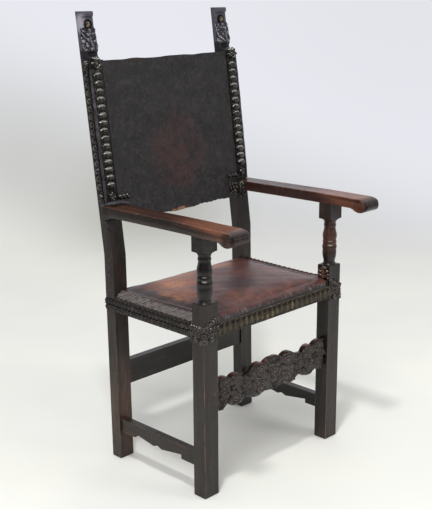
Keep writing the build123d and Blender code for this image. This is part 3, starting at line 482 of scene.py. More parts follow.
def black_cowhide(name, ground="151213", haze="1f1b1b", mottle_and_sheen="2f2a2c"):
    """Vegetable-tanned cowhide, black with age and dressing: finely wrinkled, rubbed back to
    dark red in the middle and along the upper edge, and raw tan where the lower edge is torn.
    Where it is rolled over an edge it is given lighter lilac grey colours, a painted sheen. Its
    pores, 0.3 mm across, are drawn at 1.6 mm, so that they show."""
    made, tree, shader, place, pebble, creases, uneven = started_hide(name, 1.6)
    mottle = node(tree, "TexNoise", {"Vector": place, "Scale": 1000 / 30, "Detail": 6, "Roughness": 0.66})
    red = spread(tree, place, (5, 230, 855), (180, 400, 215))
    facing = node(tree, "SeparateXYZ", {0: node(tree, "NewGeometry", out="Normal")}, out="Y")
    facing = node(tree, "MapRange", {"Value": facing, "From Min": 0.2, "From Max": -0.2})
    for share in (mottle, uneven, facing):
        red = node(tree, "Math", {0: red, 1: share}, operation="MULTIPLY")
    upright = node(tree, "Mapping", {"Vector": place, "Scale": (1, 1, 0.07)})
    slanting = node(tree, "Mapping", {"Vector": place, "Rotation": (0, 0.8, 0), "Scale": (0.08, 1, 1)})
    scratches = node(tree, "TexNoise", {"Vector": upright, "Scale": 1000 / 2.2, "Detail": 1})
    cross_scratches = node(tree, "TexNoise", {"Vector": slanting, "Scale": 1000 / 2.0, "Detail": 1})
    scratches = node(tree, "Math", {0: scratches, 1: cross_scratches}, operation="MAXIMUM")
    scratches = node(tree, "Math", {0: scratches, 1: mottle}, operation="MULTIPLY")
    wrinkled = {"Vector": place, "Scale": 1000 / 11, "Detail": 5, "Roughness": 0.7, "Distortion": 0.6}
    fine = node(tree, "TexNoise", wrinkled)
    bound = spread(tree, place, (-120, 230, BACK_TOP), (130, 400, 13))
    bound = node(tree, "Math", {0: bound, 1: mottle}, operation="MULTIPLY")
    torn = spread(tree, place, (-10, 190, 682), (130, 400, 32))
    ragged = node(tree, "TexNoise", {"Vector": place, "Scale": 1000 / 9, "Detail": 4, "Roughness": 0.7})
    torn = node(tree, "Math", {0: torn, 1: ragged}, operation="MULTIPLY")
    colour = coats(
        tree, ground,
        (uneven, 0.35, 0.7, 0.8, haze),
        (red, 0.06, 0.3, 0.75, "401a17"),
        # The mottle's colour, which on rolled leather is a painted sheen.
        (mottle, 0.5, 0.7, 0.5, mottle_and_sheen),
        (fine, 0.52, 0.64, 0.75, "383130"),
        (fine, 0.46, 0.36, 0.6, "0a0909"),
        (mottle, 0.45, 0.3, 0.6, "0c0a0b"),
        (scratches, 0.4, 0.46, 0.25, "5f5956"),
        (bound, 0.2, 0.5, 0.8, "35181a"),
        (torn, 0.3, 0.42, 0.9, "93654a"),
    )
    shader["Specular IOR Level"].default_value = 0.4
    folds = (uneven, 2.2), (creases, 1.2), (fine, 1.3), (pebble, 0.25)
    return finished(made, tree, colour, (fine, 0.3, 0.55), *folds)


# Worn places on the seat: where, how far they reach each way, and how much tan shows through.
SEAT_WEAR = (
    ((-190, 20), (90, 120), 0.85),
    ((-130, 90), (125, 100), 0.9),
    ((-55, 135), (120, 70), 0.8),
    ((80, 130), (110, 46), 0.8),
    ((-75, -115), (120, 75), 0.36),
    ((60, -140), (170, 45), 0.28),
    ((175, -10), (90, 130), 0.3),
)


def tan_cowhide(name):
    """The same cowhide on the seat: sitting has polished it through its dressing to tan and
    orange in streaks and flecks, and to plum brown in the sunk middle. It is grey black in the
    gathers, whose crests are worn by scuffing and painted light grey as a highlight, and darker
    all along the right edge."""
    made, tree, shader, place, pebble, creases, uneven = started_hide(name, 1.8)
    shader["Specular IOR Level"].default_value = 0.4
    crest_scuff_and_highlight = node(tree, "Attribute", out="Fac", attribute_name="relief")
    drawn_out = node(tree, "Mapping", {"Vector": place, "Rotation": (0, 0, 0.5), "Scale": (1, 0.45, 1)})
    streaks = node(tree, "TexNoise", {"Vector": drawn_out, "Scale": 1000 / 6, "Detail": 7, "Roughness": 0.85})
    blotched = {"Vector": place, "Scale": 1000 / 34, "Detail": 6, "Roughness": 0.68, "Distortion": 0.5}
    mottle = node(tree, "TexNoise", blotched)
    worn = mottle
    for (x, y), reach, strength in SEAT_WEAR:
        spot = spread(tree, place, (x, y, 515), (*reach, 400))
        spot = node(tree, "Math", {0: spot, 1: strength, 2: mottle}, operation="MULTIPLY_ADD")
        worn = node(tree, "Math", {0: worn, 1: spot}, operation="MAXIMUM")
    bare = node(tree, "Math", {0: streaks, 1: 2.2, 2: worn}, operation="MULTIPLY_ADD")
    middle = spread(tree, place, (0, -35, 515), (95, 95, 400))
    middle = node(tree, "Math", {0: middle, 1: mottle}, operation="ADD")
    flecks = node(tree, "TexNoise", {"Vector": drawn_out, "Scale": 1000 / 4.5, "Detail": 2, "Roughness": 0.6})
    flecks = node(tree, "Math", {0: worn, 1: 0.5, 2: flecks}, operation="MULTIPLY_ADD")
    margin = node(tree, "SeparateXYZ", {0: place}, out="X")
    margin = node(tree, "Math", {0: mottle, 1: 0.05, 2: margin}, operation="MULTIPLY_ADD")
    height = node(tree, "SeparateXYZ", {0: place}, out="Z")
    height = node(tree, "Math", {0: mottle, 1: 0.016, 2: height}, operation="MULTIPLY_ADD")
    colour = coats(
        tree, "4c2f2a",
        (mottle, 0.35, 0.65, 0.8, "643e38"),
        (middle, 0.75, 1.2, 0.7, "35272a"),
        (worn, 0.66, 1.0, 0.9, "70402e"),
        (bare, 1.9, 2.25, 0.9, "86523a"),
        (bare, 2.38, 2.7, 0.85, "b3825a"),
        (streaks, 0.45, 0.36, 0.85, "3a2018"),
        (flecks, 1.14, 1.24, 0.65, "aa6f4e"),
        (margin, -0.178, -0.2, 0.85, "2a2322"),
        (height, 0.506, 0.494, 1.0, "211b1b"),
        # Crests of the gathers: scuff wear and a light grey painted highlight.
        (crest_scuff_and_highlight, 0.2, 0.85, 0.85, "7b7470"),
    )
    folds = (uneven, 1.6), (creases, 0.9), (streaks, 0.4), (pebble, 0.12)
    return finished(made, tree, colour, (streaks, 0.28, 0.5), *folds)


def embossed_brass(name, crest, slope="38322a", hollow="13110f", gloss=0.3, painted_highlight=None):
    """Thin sheet brass beaten over a die. Hollows are black with old wax, slopes tarnished
    brown, and crests rubbed back to metal in patches; given a painted highlight colour, what
    faces up is painted that lighter colour."""
    made, tree, shader, place = started(name)
    raised = node(tree, "Attribute", out="Fac", attribute_name="relief")
    patches = node(tree, "TexNoise", {"Vector": place, "Scale": 1000 / 45, "Detail": 3})
    tarnish = node(tree, "TexNoise", {"Vector": place, "Scale": 1000 / 7, "Detail": 4, "Roughness": 0.65})
    pits = node(tree, "TexNoise", {"Vector": place, "Scale": 1000 / 2.5, "Detail": 3, "Roughness": 0.6})
    height = node(tree, "Math", {0: tarnish, 1: 0.7, 2: raised}, operation="MULTIPLY_ADD")
    rubbed = node(tree, "Math", {0: patches, 1: 0.8, 2: height}, operation="MULTIPLY_ADD")
    layers = [(height, 0.4, 0.9, 1.0, slope), (rubbed, 1.3, 1.8, 0.9, crest)]
    # Painted highlight: what faces up is lightened.
    if painted_highlight:
        upward = node(tree, "SeparateXYZ", {0: node(tree, "NewGeometry", out="Normal")}, out="Z")
        upward = node(tree, "Math", {0: tarnish, 1: 0.8, 2: upward}, operation="MULTIPLY_ADD")
        layers.append((upward, 1.03, 1.2, 0.85, painted_highlight))
    colour = coats(tree, hollow, *layers)
    shader["Metallic"].default_value = 0.45
    return finished(made, tree, colour, (tarnish, gloss, gloss + 0.16), (tarnish, 0.6), (pits, 0.2))


def forged_metal(name, bare, tarnished, gloss):
    """Forged nail heads, hammered into facets: bare metal shows through tarnish in patches."""
    made, tree, shader, place = started(name)
    tarnish = node(tree, "TexNoise", {"Vector": place, "Scale": 1000 / 5, "Detail": 4, "Roughness": 0.65})
    shader["Metallic"].default_value = 0.85
    colour = coats(tree, tarnished, (tarnish, 0.4, 0.65, 1.0, bare))
    return finished(made, tree, colour, (tarnish, gloss + 0.1, gloss), (tarnish, 0.6))


def plain_weave(name, light, dark, thread_mm):
    """Linen or hemp in plain weave: two sets of threads cross, darker where they go under."""
    made, tree, _, place = started(name)
    threads = {"Vector": place, "Scale": 0.3142 / (thread_mm * METRE), "Distortion": 0.4}
    warp = node(tree, "TexWave", threads, out="Fac", bands_direction="X")
    weft = node(tree, "TexWave", threads, out="Fac", bands_direction="Y")
    crossing = node(tree, "Math", {0: warp, 1: weft}, operation="MULTIPLY")
    stains = node(tree, "TexNoise", {"Vector": place, "Scale": 1000 / 50, "Detail": 4, "Roughness": 0.6})
    colour = coats(tree, dark, (crossing, 0.1, 0.8, 1.0, light), (stains, 0.5, 0.75, 0.5, dark))
    return finished(made, tree, colour, (stains, 0.85, 0.95), (crossing, 0.35))


def tangled_hair(name):
    """Horsehair and tow: short brown and straw-coloured fibres lying every way."""
    made, tree, _, place = started(name)
    one_way = node(tree, "Mapping", {"Vector": place, "Scale": (0.17, 1, 1)})
    other_way = node(tree, "Mapping", {"Vector": place, "Scale": (1, 0.17, 1)})
    hairs = node(tree, "TexNoise", {"Vector": one_way, "Scale": 1000 / 3, "Detail": 6, "Roughness": 0.7})
    crossing = {"Vector": other_way, "Scale": 1000 / 3, "Detail": 6, "Roughness": 0.7}
    fibre = node(tree, "Math", {0: hairs, 1: node(tree, "TexNoise", crossing)}, operation="MAXIMUM")
    colour = coats(tree, "2e241b", (fibre, 0.4, 0.7, 1.0, "8a7250"))
    return finished(made, tree, colour, (fibre, 0.9, 0.95), (fibre, 1.5))


walnut_upright = aged_walnut("aged_walnut_upright", "z")
walnut_across = aged_walnut("aged_walnut_across", "x", ground="151413", brown="23201f", red="241d1b")
walnut_along = aged_walnut("aged_walnut_along", "y")
walnut_carved = carved_walnut("carved_walnut")
walnut_arms = handled_walnut("handled_walnut")
oak = aged_walnut("aged_oak_pegs", "x", ground="1b1613", brown="2e251e", red="33241c", edge="4a3a2c")
seat_hide = tan_cowhide("worn_tan_cowhide")
back_hide = black_cowhide("aged_black_cowhide")
# Rolled leather: its lighter lilac grey colours are a painted sheen.
rolled_sheen_hide = black_cowhide("rolled_black_cowhide_sheen", ground="2a272b", haze="423e45", mottle_and_sheen="67626b")
# The last colour given to these brasses is a painted highlight on what faces up.
front_brass = embossed_brass("embossed_brass_front", "8f7c4c", slope="433a2c", gloss=0.24, painted_highlight="a89c84")
mount_brass = embossed_brass("embossed_brass_corner", "5f5750", slope="2f2a27", gloss=0.2, painted_highlight="746b65")
side_brass = embossed_brass("embossed_brass_side", "5c554e", slope="2f2a27", gloss=0.2)
back_brass = embossed_brass("embossed_brass_back", "423e35", slope="23211f", gloss=0.14, painted_highlight="c2beb6")
edge_brass = embossed_brass("embossed_brass_edge", "423e35", slope="23211f", gloss=0.16, painted_highlight="8f8a82")
leaf_brass = embossed_brass(
    "embossed_brass_leaf", "7d5f50", slope="45302a", hollow="120f0e", gloss=0.2, painted_highlight="bba99f"
)
nail_brass = forged_metal("aged_brass_nails", "5f574b", "1f1c19", 0.24)
bright_nails = forged_metal("rubbed_brass_nails", "a0937a", "4c4334", 0.16)
iron = forged_metal("iron_tacks", "6a6866", "2c2928", 0.36)
black_iron = forged_metal("blackened_iron", "2b2826", "0f0e0d", 0.4)
webbing = plain_weave("hemp_webbing", "9c8a68", "5c4e3a", 2.2)
linen = plain_weave("base_linen", "8f8062", "5a4e3a", 1.4)
horsehair = tangled_hair("horsehair")
FINISHES = {
    "dark_walnut": walnut_upright,
    "arm_walnut": walnut_arms,
    "peg_oak": oak,
    "seat_leather": seat_hide,
    "back_leather": back_hide,
    "trim_brass": front_brass,
    "nail_brass": nail_brass,
    "iron_tack": iron,
    "linen_webbing": webbing,
    "base_linen": linen,
    "stuffing": horsehair,
}
for entry in frame["record"]["subparts"]:
    plain = NODES[entry["node"]].data.materials
    plain.clear()
    plain.append(FINISHES[entry["material_slot"]])

NODES["finial_nails"].data.materials[0] = bright_nails

# ---- the frame's plain members, with worn edges --------------------------------------------
EASED = {
    "front_post": (1.8, walnut_upright),
    "rear_post": (1.8, walnut_upright),
    "side_stretcher": (1.2, walnut_along),
    "side_rail": (1.0, walnut_along),
}
for member, (radius, finish) in EASED.items():
    for side, _ in SIDES:
        eased(f"{member}_{side}", f"{member}_worn_{side}", finish, radius)
for member in ("back_stretcher", "front_rail", "rear_rail"):
    eased(member, f"{member}_worn", walnut_across, 1.2)

# ---- arms ----------------------------------------------------------------------------------
ARM_INNER, ARM_OUTER = 230.0, 298.0
ARM_LEVEL_END = LEG_FRONT + 60.0
ARM_DROP = 5.0
HAUNCH_LENGTH, HAUNCH_DROP = 50.0, 8.0
NOSE_CORNER = 12.0
ARM_ROUND = 3.6
# The nose in side view: height of its top and its underside at this distance behind the tip.
NOSE_TOP = np.array([
    (0, 727), (1, 733), (3, 736.5), (6, 739.5), (11, 742.5), (18, 745), (27, 746.5), (36, 747),
])
NOSE_UNDER = np.array([
    (0, 727), (1, 721.5), (3, 718.5), (8, 713.8), (14, 710.6), (20, 709.2), (26, 709), (32, 710),
    (39, 712.3), (45, 715.8), (49, 719),
])


def arm_side(side):
    """Rounded sections from the rear post to the nose. The top is level and then falls to the
    back; the underside hangs in a scroll at the nose and swells at the post; the outer edge
    runs in towards the back, and the nose has round corners in plan. A volute is sunk in both
    sides of the nose."""
    rear_y = float(post_front(ARM_TOP - 19))
    turn = np.linspace(0, np.pi / 2, 26)
    y = np.concatenate([NOSE + 40 * (1 - np.cos(turn)), np.linspace(NOSE + 46, rear_y + 4, 60)])
    behind = y - NOSE
    fall = ARM_DROP * np.maximum(y - ARM_LEVEL_END, 0) / (rear_y - ARM_LEVEL_END)
    top = np.interp(behind, *NOSE_TOP.T) - fall
    haunch = HAUNCH_DROP * smooth(rear_y - HAUNCH_LENGTH, rear_y, y) ** 1.4
    under = np.interp(behind, *NOSE_UNDER.T) - fall - haunch
    corner = np.maximum(NOSE_CORNER - behind, 0)
    cut = NOSE_CORNER - np.sqrt(np.maximum(NOSE_CORNER**2 - corner**2, 0))
    inner = ARM_INNER + cut
    outer = ARM_OUTER - 7 * behind / (rear_y - NOSE) - cut
    top_round = np.minimum(ARM_ROUND, 0.48 * (top - under))
    low_round = np.minimum(0.5 * ARM_ROUND, 0.48 * (top - under))
    quarter = np.linspace(0, np.pi / 2, 7)
    flat = np.linspace(0, 1, 13)[1:-1]
    wall = np.linspace(0, 1, 19)[1:-1]
    swell = 1.8  # how far the outer side bulges between its edges
    outer = outer - swell
    x_rows, z_rows = [], []

    def corner_points(x_edge, z_edge, radius, x_way, z_way, angle):
        """A quarter round inside the corner at these edges."""
        x_rows.append(x_edge + x_way * radius * (1 - np.cos(angle)[:, None]))
        z_rows.append(z_edge + z_way * radius * (1 - np.sin(angle)[:, None]))

    corner_points(inner, top, top_round, 1, -1, quarter)
    # Wear has left the top slightly hollow from side to side and the outline a little uneven.
    x_rows.append(inner + top_round + flat[:, None] * (outer - inner - 2 * top_round))
    z_rows.append(top - 0.8 * np.sin(np.pi * flat)[:, None] * smooth(30, 70, behind))
    corner_points(outer, top, top_round, -1, -1, quarter[::-1])
    x_rows.append(outer + swell * np.sin(np.pi * wall[:, None]))
    z_rows.append(top - top_round - wall[:, None] * (top - under - top_round - low_round))
    corner_points(outer, under, low_round, -1, 1, quarter)
    x_rows.append(outer - low_round - flat[:, None] * (outer - inner - 2 * low_round))
    z_rows.append(under + 0 * flat[:, None])
    corner_points(inner, under, low_round, 1, 1, quarter[::-1])
    x_rows.append(inner + 0 * wall[:, None])
    z_rows.append(under + low_round + wall[:, None] * (top - under - top_round - low_round))
    x, z = np.concatenate(x_rows).T, np.concatenate(z_rows).T
    y = np.broadcast_to(y[:, None], x.shape)
    centre_y, centre_z, reach = NOSE + 19.0, 728.0, 15.0
    distance = np.hypot(y - centre_y, z - centre_z)
    angle = np.arctan2(z - centre_z, y - centre_y)
    coil = 0.5 + 0.5 * np.cos(2 * np.pi * (distance / 7.5 - angle / (2 * np.pi)))
    sunk = 1.3 * coil**3 * smooth(reach, reach - 4, distance)
    middle = (ARM_INNER + ARM_OUTER) / 2
    to_outer = np.abs(x - outer[:, None] - 0.5 * swell)
    on_side = np.minimum(np.abs(x - inner[:, None]), to_outer) < 0.5 + 0.5 * swell
    x = np.where(on_side, x - np.sign(x - middle) * sunk, x)
    x = x + 0.5 * ripple(y, z, 90, 3) * smooth(20, 60, y - NOSE)
    return tube(np.stack([side * x, y, z], -1))


for side, way in SIDES:
    piece(f"arm_worn_{side}", arm_side(way), walnut_arms, [f"arm_{side}"])

# ---- carved front stretcher -----------------------------------------------------------------
CARVED_BOTTOM, CARVED_HEIGHT, CARVED_THICKNESS = 229.0, 96.0, 24.0
CARVED_FRONT = LEG_FRONT + 2.0
CARVED_RELIEF = 9.5
# Outlines from the middle outwards, as arcs through shares of the half length and the height.
TOP_OUTLINE = [
    (0.0, 1.0), (0.09, 0.985), (0.162, 0.896), (0.254, 0.99), (0.377, 0.896), (0.474, 0.8),
    (0.557, 0.78), (0.662, 0.948), (0.754, 0.854), (0.811, 0.95), (0.882, 0.98),
]
BOTTOM_OUTLINE = [
    (0.0, 0.01), (0.1, 0.03), (0.175, 0.094), (0.3, 0.0), (0.49, 0.146), (0.66, 0.0),
    (0.8, 0.146), (0.908, 0.0), (1.0, 0.146),
]


def arc_through(start, middle, end, steps=14):
    """Points of the circle through three points, from the first to the last."""
    a, b, c = (np.array(p, float) for p in (start, middle, end))
    system = 2 * np.array([b - a, c - a])
    centre = np.linalg.solve(system, [b @ b - a @ a, c @ c - a @ a])
    angles = np.arctan2(*(np.array([a, b, c]) - centre).T[::-1])
    angles = np.unwrap([angles[0], angles[1], angles[2]])
    run = np.linspace(angles[0], angles[2], steps)
    return centre + np.hypot(*(a - centre)) * np.stack([np.cos(run), np.sin(run)], -1)


def outline_height(points, x):
    """Height over the carved board's bottom of an outline of arcs, at each distance x."""
    scaled = [(share * LEG_INNER, up * CARVED_HEIGHT) for share, up in points]
    arcs = np.concatenate(
        [arc_through(*scaled[i : i + 3]) for i in range(0, len(scaled) - 2, 2)]
    )
    return np.interp(np.abs(x), np.maximum.accumulate(arcs[:, 0]), arcs[:, 1])


# The scrolls of one half: where, how large, which way each winds and how far round it starts.
SCROLLS = (
    (0, 52, 18, 1, 0.0), (53, 24, 21, -1, 0.3), (58, 71, 18, 1, 0.8), (107, 50, 12, -1, 2.2),
    (151, 75, 15, -1, 2.0), (153, 22, 16, 1, 1.2), (195, 78, 12, 1, 1.0), (197, 40, 10, -1, 0.5),
)


def scroll(x, z, centre_x, centre_z, radius, way, turn):
    """Height share of a carved scroll: an Archimedean ridge wound to a domed eye, in a ring of
    rounded leaves that lean the way it winds and fall away outwards."""
    dx, dz = x - centre_x, z - centre_z
    distance, angle = np.hypot(dx, dz) / radius, way * np.arctan2(dz, dx) + turn
    coil = np.abs(np.sin(np.pi * (distance / 0.4 - angle / (2 * np.pi)))) ** 0.55
    eye = dome(distance / 0.26)
    wound = smooth(1.04, 0.94, distance) * (0.5 + 0.45 * np.maximum(coil, eye))
    rib = np.abs(np.sin(2.5 * angle + 1.6 * distance))
    reach = 1.3 + 0.75 * rib**0.7
    veins = 0.07 * np.cos(2 * np.pi * 2.6 * distance)
    lobes = (0.9 - 0.36 * (distance - 1)) * (0.5 + 0.5 * rib**0.5) + veins
    return np.maximum(wound, lobes * smooth(reach, reach - 0.16, distance) * smooth(0.9, 1.06, distance))


def stem(x, z, points, width):
    """Height share of a carved stem: half round along a curve, with a groove down its middle."""
    line = np.array(points, float)
    count = 40
    share = np.linspace(0, 1, count)
    knots = np.linspace(0, 1, len(line))
    path = np.stack([np.interp(share, knots, line[:, i]) for i in (0, 1)], -1)
    for _ in range(6):
        path[1:-1] = (path[:-2] + 2 * path[1:-1] + path[2:]) / 4
    gaps = np.hypot(x[..., None] - path[:, 0], z[..., None] - path[:, 1])
    nearest = gaps.min(-1) / width
    body = dome(nearest)
    return body - 0.35 * np.exp(-((nearest / 0.25) ** 2)) * (body > 0)


def leaf(x, z, base, tip, width, lobes=4):
    """Height share of an acanthus leaf: lobed edges, a raised midrib and slanting veins."""
    base, tip = np.array(base, float), np.array(tip, float)
    length = np.hypot(*(tip - base))
    way = (tip - base) / length
    t = ((x - base[0]) * way[0] + (z - base[1]) * way[1]) / length
    s = (-(x - base[0]) * way[1] + (z - base[1]) * way[0]) / width
    inside = np.clip(t, 0, 1)
    edge = np.sin(np.pi * inside**0.75) ** 0.7 * (1 + 0.16 * np.cos(2 * np.pi * lobes * inside))
    share = np.abs(s) / np.maximum(edge, 1e-3)
    body = dome(share) * (t > 0) * (t < 1)
    veins = 0.16 * np.cos(2 * np.pi * (lobes * inside + 0.9 * np.abs(s)))
    rib = 0.3 * np.exp(-((s / 0.13) ** 2))
    return body * (0.62 + veins) + rib * body


def carved_height(x, z):
    """Height share of the whole carving: the highest of its scrolls, stems and leaves, over a
    ground matted with a punch. The halves mirror each other as nearly as a hand can cut them.
    z is from the board's bottom."""
    x, z = x + 1.6 * ripple(x, z, 46, 71), z + 1.3 * ripple(x, z, 40, 72)
    ground = 0.2 + 0.07 * ripple(x, z, 7, 73)
    x = np.abs(x)
    parts = [scroll(x, z, *one) for one in SCROLLS]
    parts += [
        0.9 * stem(x, z, [(74, 62), (88, 60), (100, 64), (118, 62)], 5.5),
        0.9 * stem(x, z, [(72, 34), (86, 42), (98, 36), (112, 34)], 5.5),
        0.85 * stem(x, z, [(118, 44), (132, 34), (140, 44), (142, 62)], 5.5),
        0.8 * stem(x, z, [(166, 34), (178, 50), (184, 60), (188, 66)], 5),
        0.95 * leaf(x, z, (84, 56), (98, 88), 12, 3),
        0.85 * leaf(x, z, (118, 62), (122, 92), 11, 3),
        0.95 * leaf(x, z, (92, 34), (86, 4), 11, 3),
        0.95 * leaf(x, z, (104, 34), (122, 6), 12, 3),
        0.9 * leaf(x, z, (24, 66), (30, 98), 11, 3),
        0.9 * leaf(x, z, (20, 34), (6, 2), 10, 3),
        0.85 * leaf(x, z, (128, 56), (142, 34), 9, 3),
        0.95 * leaf(x, z, (180, 46), (207, 4), 12, 4),
        0.9 * leaf(x, z, (206, 62), (232, 40), 12, 4),
        0.85 * leaf(x, z, (172, 60), (176, 94), 10, 3),
    ]
    return np.maximum.reduce([ground, *parts])


def carved_board():
    """A board whose front is the carving and whose edges follow the two outlines. Across it
    runs from the lower outline to the upper; edges are rounded over about 5 mm."""
    x = np.linspace(-LEG_INNER - 0.5, LEG_INNER + 0.5, 381)[:, None]
    share = np.linspace(0, 1, 91)[None, :]
    low, high = outline_height(BOTTOM_OUTLINE, x), outline_height(TOP_OUTLINE, x)
    z = low + share * (high - low)
    x = np.broadcast_to(x, z.shape)
    margin = np.minimum(share, 1 - share) * (high - low)
    edge = 5 - np.sqrt(np.clip(25 - np.clip(5 - margin, 0, 5) ** 2, 0, 25))
    tooth = 0.3 * ripple(x, z, 9, 5)
    carving = carved_height(x, z)
    y = CARVED_FRONT + np.clip(CARVED_RELIEF * (1 - carving) + 0.6 * edge + tooth, 0, CARVED_RELIEF + 3)
    front = np.stack([x, y, CARVED_BOTTOM + z], -1)
    back_edge = 2 - np.sqrt(np.clip(4 - np.clip(2 - margin, 0, 2) ** 2, 0, 4))
    back = np.stack([x, CARVED_FRONT + CARVED_THICKNESS - back_edge, CARVED_BOTTOM + z], -1)
    return slab(front, back), np.stack([carving, 0.4 + 0 * carving])


board, board_relief = carved_board()
piece("carved_stretcher", board, walnut_carved, ["front_stretcher"], board_relief)

# ---- carved leaves on the finials ----------------------------------------------------------
# Depth of the finial ahead of its rear line at each height.
FINIAL_DEPTH = np.array([
    (1127, 35.5), (1133, 28), (1140, 24), (1147, 29), (1152, 31.5), (1157, 32), (1163, 30),
    (1170, 28.5), (1176, 27), (1184, 25.5), (1192, 22.5), (1200, 20.5), (1207, 18.5), (1213, 16.2),
])
LEAF_FOOT, LEAF_RISE = 1149, 62


def finial_leaf(way):
    """A leaf that climbs the front and the two canted sides of a finial. Its surface stands up
    to 3 mm out of the post, with a midrib, uneven side ribs that fan upwards and a scalloped
    edge."""
    z = np.linspace(LEAF_FOOT, LEAF_FOOT + LEAF_RISE, 71)[:, None]
    s = np.linspace(-1, 1, 61)[None, :]
    depth = np.interp(z, *FINIAL_DEPTH.T)
    half = np.clip(23.5 - (depth - 12) / 24 * 12.2, 8, 23.5)
    flat = np.clip(np.abs(s) / 0.45, 0, 1)
    cant = np.clip((np.abs(s) - 0.45) / 0.55, 0, 1)
    x = np.sign(s) * (flat * half + cant * (23.2 - half))
    ahead = depth - cant * (depth - 12)
    t = (z - LEAF_FOOT) / LEAF_RISE
    fan = np.cos(2 * np.pi * (3.1 * t - 1.9 * np.abs(s) ** 1.2 + 0.25 * ripple(z, 24 * s, 24, 64)))
    rib = np.exp(-(((s - 0.1 * np.sin(4 * t)) / 0.12) ** 2))
    scallop = np.abs(np.sin(np.pi * (3.6 * t + 0.2)))
    relief = 1.4 + 1.3 * fan * smooth(0.08, 0.25, np.abs(s)) + 1.0 * rib
    relief = relief + 0.9 * scallop * cant + 0.9 * ripple(z, 30 * s, 9, 63)
    relief = np.clip(relief, 0, None) * smooth(0, 0.06, t) * smooth(1, 0.93, t)
    relief = relief * smooth(1.0, 0.9, np.abs(s))
    lean = np.radians(62) * smooth(0.35, 0.55, np.abs(s)) * np.sign(s)
    y_back = post_front(z) + POST_DEPTH
    outward = np.stack([np.sin(lean) + 0 * t, -np.cos(lean) + 0 * t, 0 * (s + t)], -1)
    surface = np.stack([LEG_X + 1.5 + x + 0 * t, y_back - ahead, z + 0 * s], -1)
    front = surface + relief[..., None] * outward
    back = surface - 1.5 * outward
    for grid in (front, back):
        grid[..., 0] *= way
    return slab(front, back), np.stack([relief / 3.6, 0 * relief])


for side, way in SIDES:
    leaves, leaf_relief = finial_leaf(way)
    piece(f"finial_leaf_{side}", leaves, walnut_carved, relief=leaf_relief)

# ---- embossed trim ---------------------------------------------------------------------------
TRIM_SHEET = 1.2
TRIM_STEP = 1.3  # between the points of an embossed strip


def strip(name, origin, along, across, out, length, width, height, finish, replaces):
    """An embossed strip centred on origin: height(a, b) gives the relief over the sheet."""
    a = np.linspace(-length / 2, length / 2, int(length / TRIM_STEP) + 1)[:, None]
    b = np.linspace(-width / 2, width / 2, int(width / TRIM_STEP) + 1)[None, :]
    a, b = np.broadcast_arrays(a, b)
    relief = height(a, b)
    front = frame_points(origin, along, across, out, a, b, TRIM_SHEET + relief)
    back = frame_points(origin, along, across, out, a, b, 0 * relief)
    shares = np.stack([relief / relief.max(), 0 * relief])
    return piece(name, slab(front, back), finish, replaces, shares)


MANY = 999  # more bosses than a strip has room for, and odd, so that one is at its middle


def rows_of(pitch, count, a):
    """Distance from the middle of the nearest of a row of bosses, far outside the row's ends."""
    number = np.clip(np.round(a / pitch + (count - 1) / 2), 0, count - 1) - (count - 1) / 2
    return a - number * pitch


RIB_HALF = 15  # half the height of the ribs on the front of the seat


def gadroon_trim(a, b):
    """Relief of upright leaf-shaped ribs side by side, each with two creases and leaning a
    little, with thin ones between; small scallops stand along both borders."""
    a = a + 0.12 * b + 1.2 * ripple(a, 0 * b, 90, 8)
    near = rows_of(20.6, MANY, a)
    rib = np.sqrt(np.clip(1 - (near / 7.4) ** 2 - (np.abs(b) / RIB_HALF) ** 3, 0, 1))
    gap, short = (np.abs(near) - 10.3) / 2.9, np.abs(b + 2) / (0.8 * RIB_HALF)
    between = np.sqrt(np.clip(1 - gap**2 - short**4, 0, 1))
    crease = 1.3 * np.exp(-(((np.abs(near) - 2.6) / 0.9) ** 2)) * (rib > 0.3)
    scallops = 2.6 * dome(rows_of(6.87, MANY, a) / 3.2, (np.abs(b) - RIB_HALF) / 3.0)
    worn = 1 + 0.32 * ripple(a, b, 60, 7)
    raised = np.maximum(4.2 * rib * worn - crease, 0) + 2.6 * between + scallops
    return raised + 0.3 * ripple(a, b, 14, 9)


def coils(a, b, pitch, row, shift, radius, way):
    """A row of C-shaped curls: a ridge winds in one turn from the rim of each to its eye."""
    near = rows_of(pitch, MANY, a - shift)
    distance, angle = np.hypot(near, b - row), way * np.arctan2(b - row, near)
    ridge = np.abs(np.sin(np.pi * (distance / (0.62 * radius) - angle / (2 * np.pi)))) ** 0.7
    return smooth(radius, 0.8 * radius, distance) * (0.35 + 0.65 * ridge)


def scroll_trim(a, b):
    """Relief of two rows of C curls that interlock, turned opposite ways, with small leaves
    between those of the upper row."""
    a, b = a + 0.8 * ripple(a, b, 40, 11), b + 0.6 * ripple(a, b, 45, 12)
    upper = coils(a, b, 14.0, 7.5, 0.0, 8.2, 1)
    lower = coils(a, b, 14.0, -7.5, 7.0, 8.2, -1)
    leaves = dome(rows_of(14.0, MANY, a - 7) / 2.4, (b - 8) / 6)
    edge = 0.5 * np.exp(-(((np.abs(b) - 16.4) / 0.9) ** 2))
    worn = 1 + 0.25 * ripple(a, b, 50, 13)
    relief = worn * (4.2 * np.maximum(upper, lower) + 2.0 * leaves) + edge
    return relief + 0.35 * ripple(a, b, 9, 10)


BOSS_PITCH = 21.0


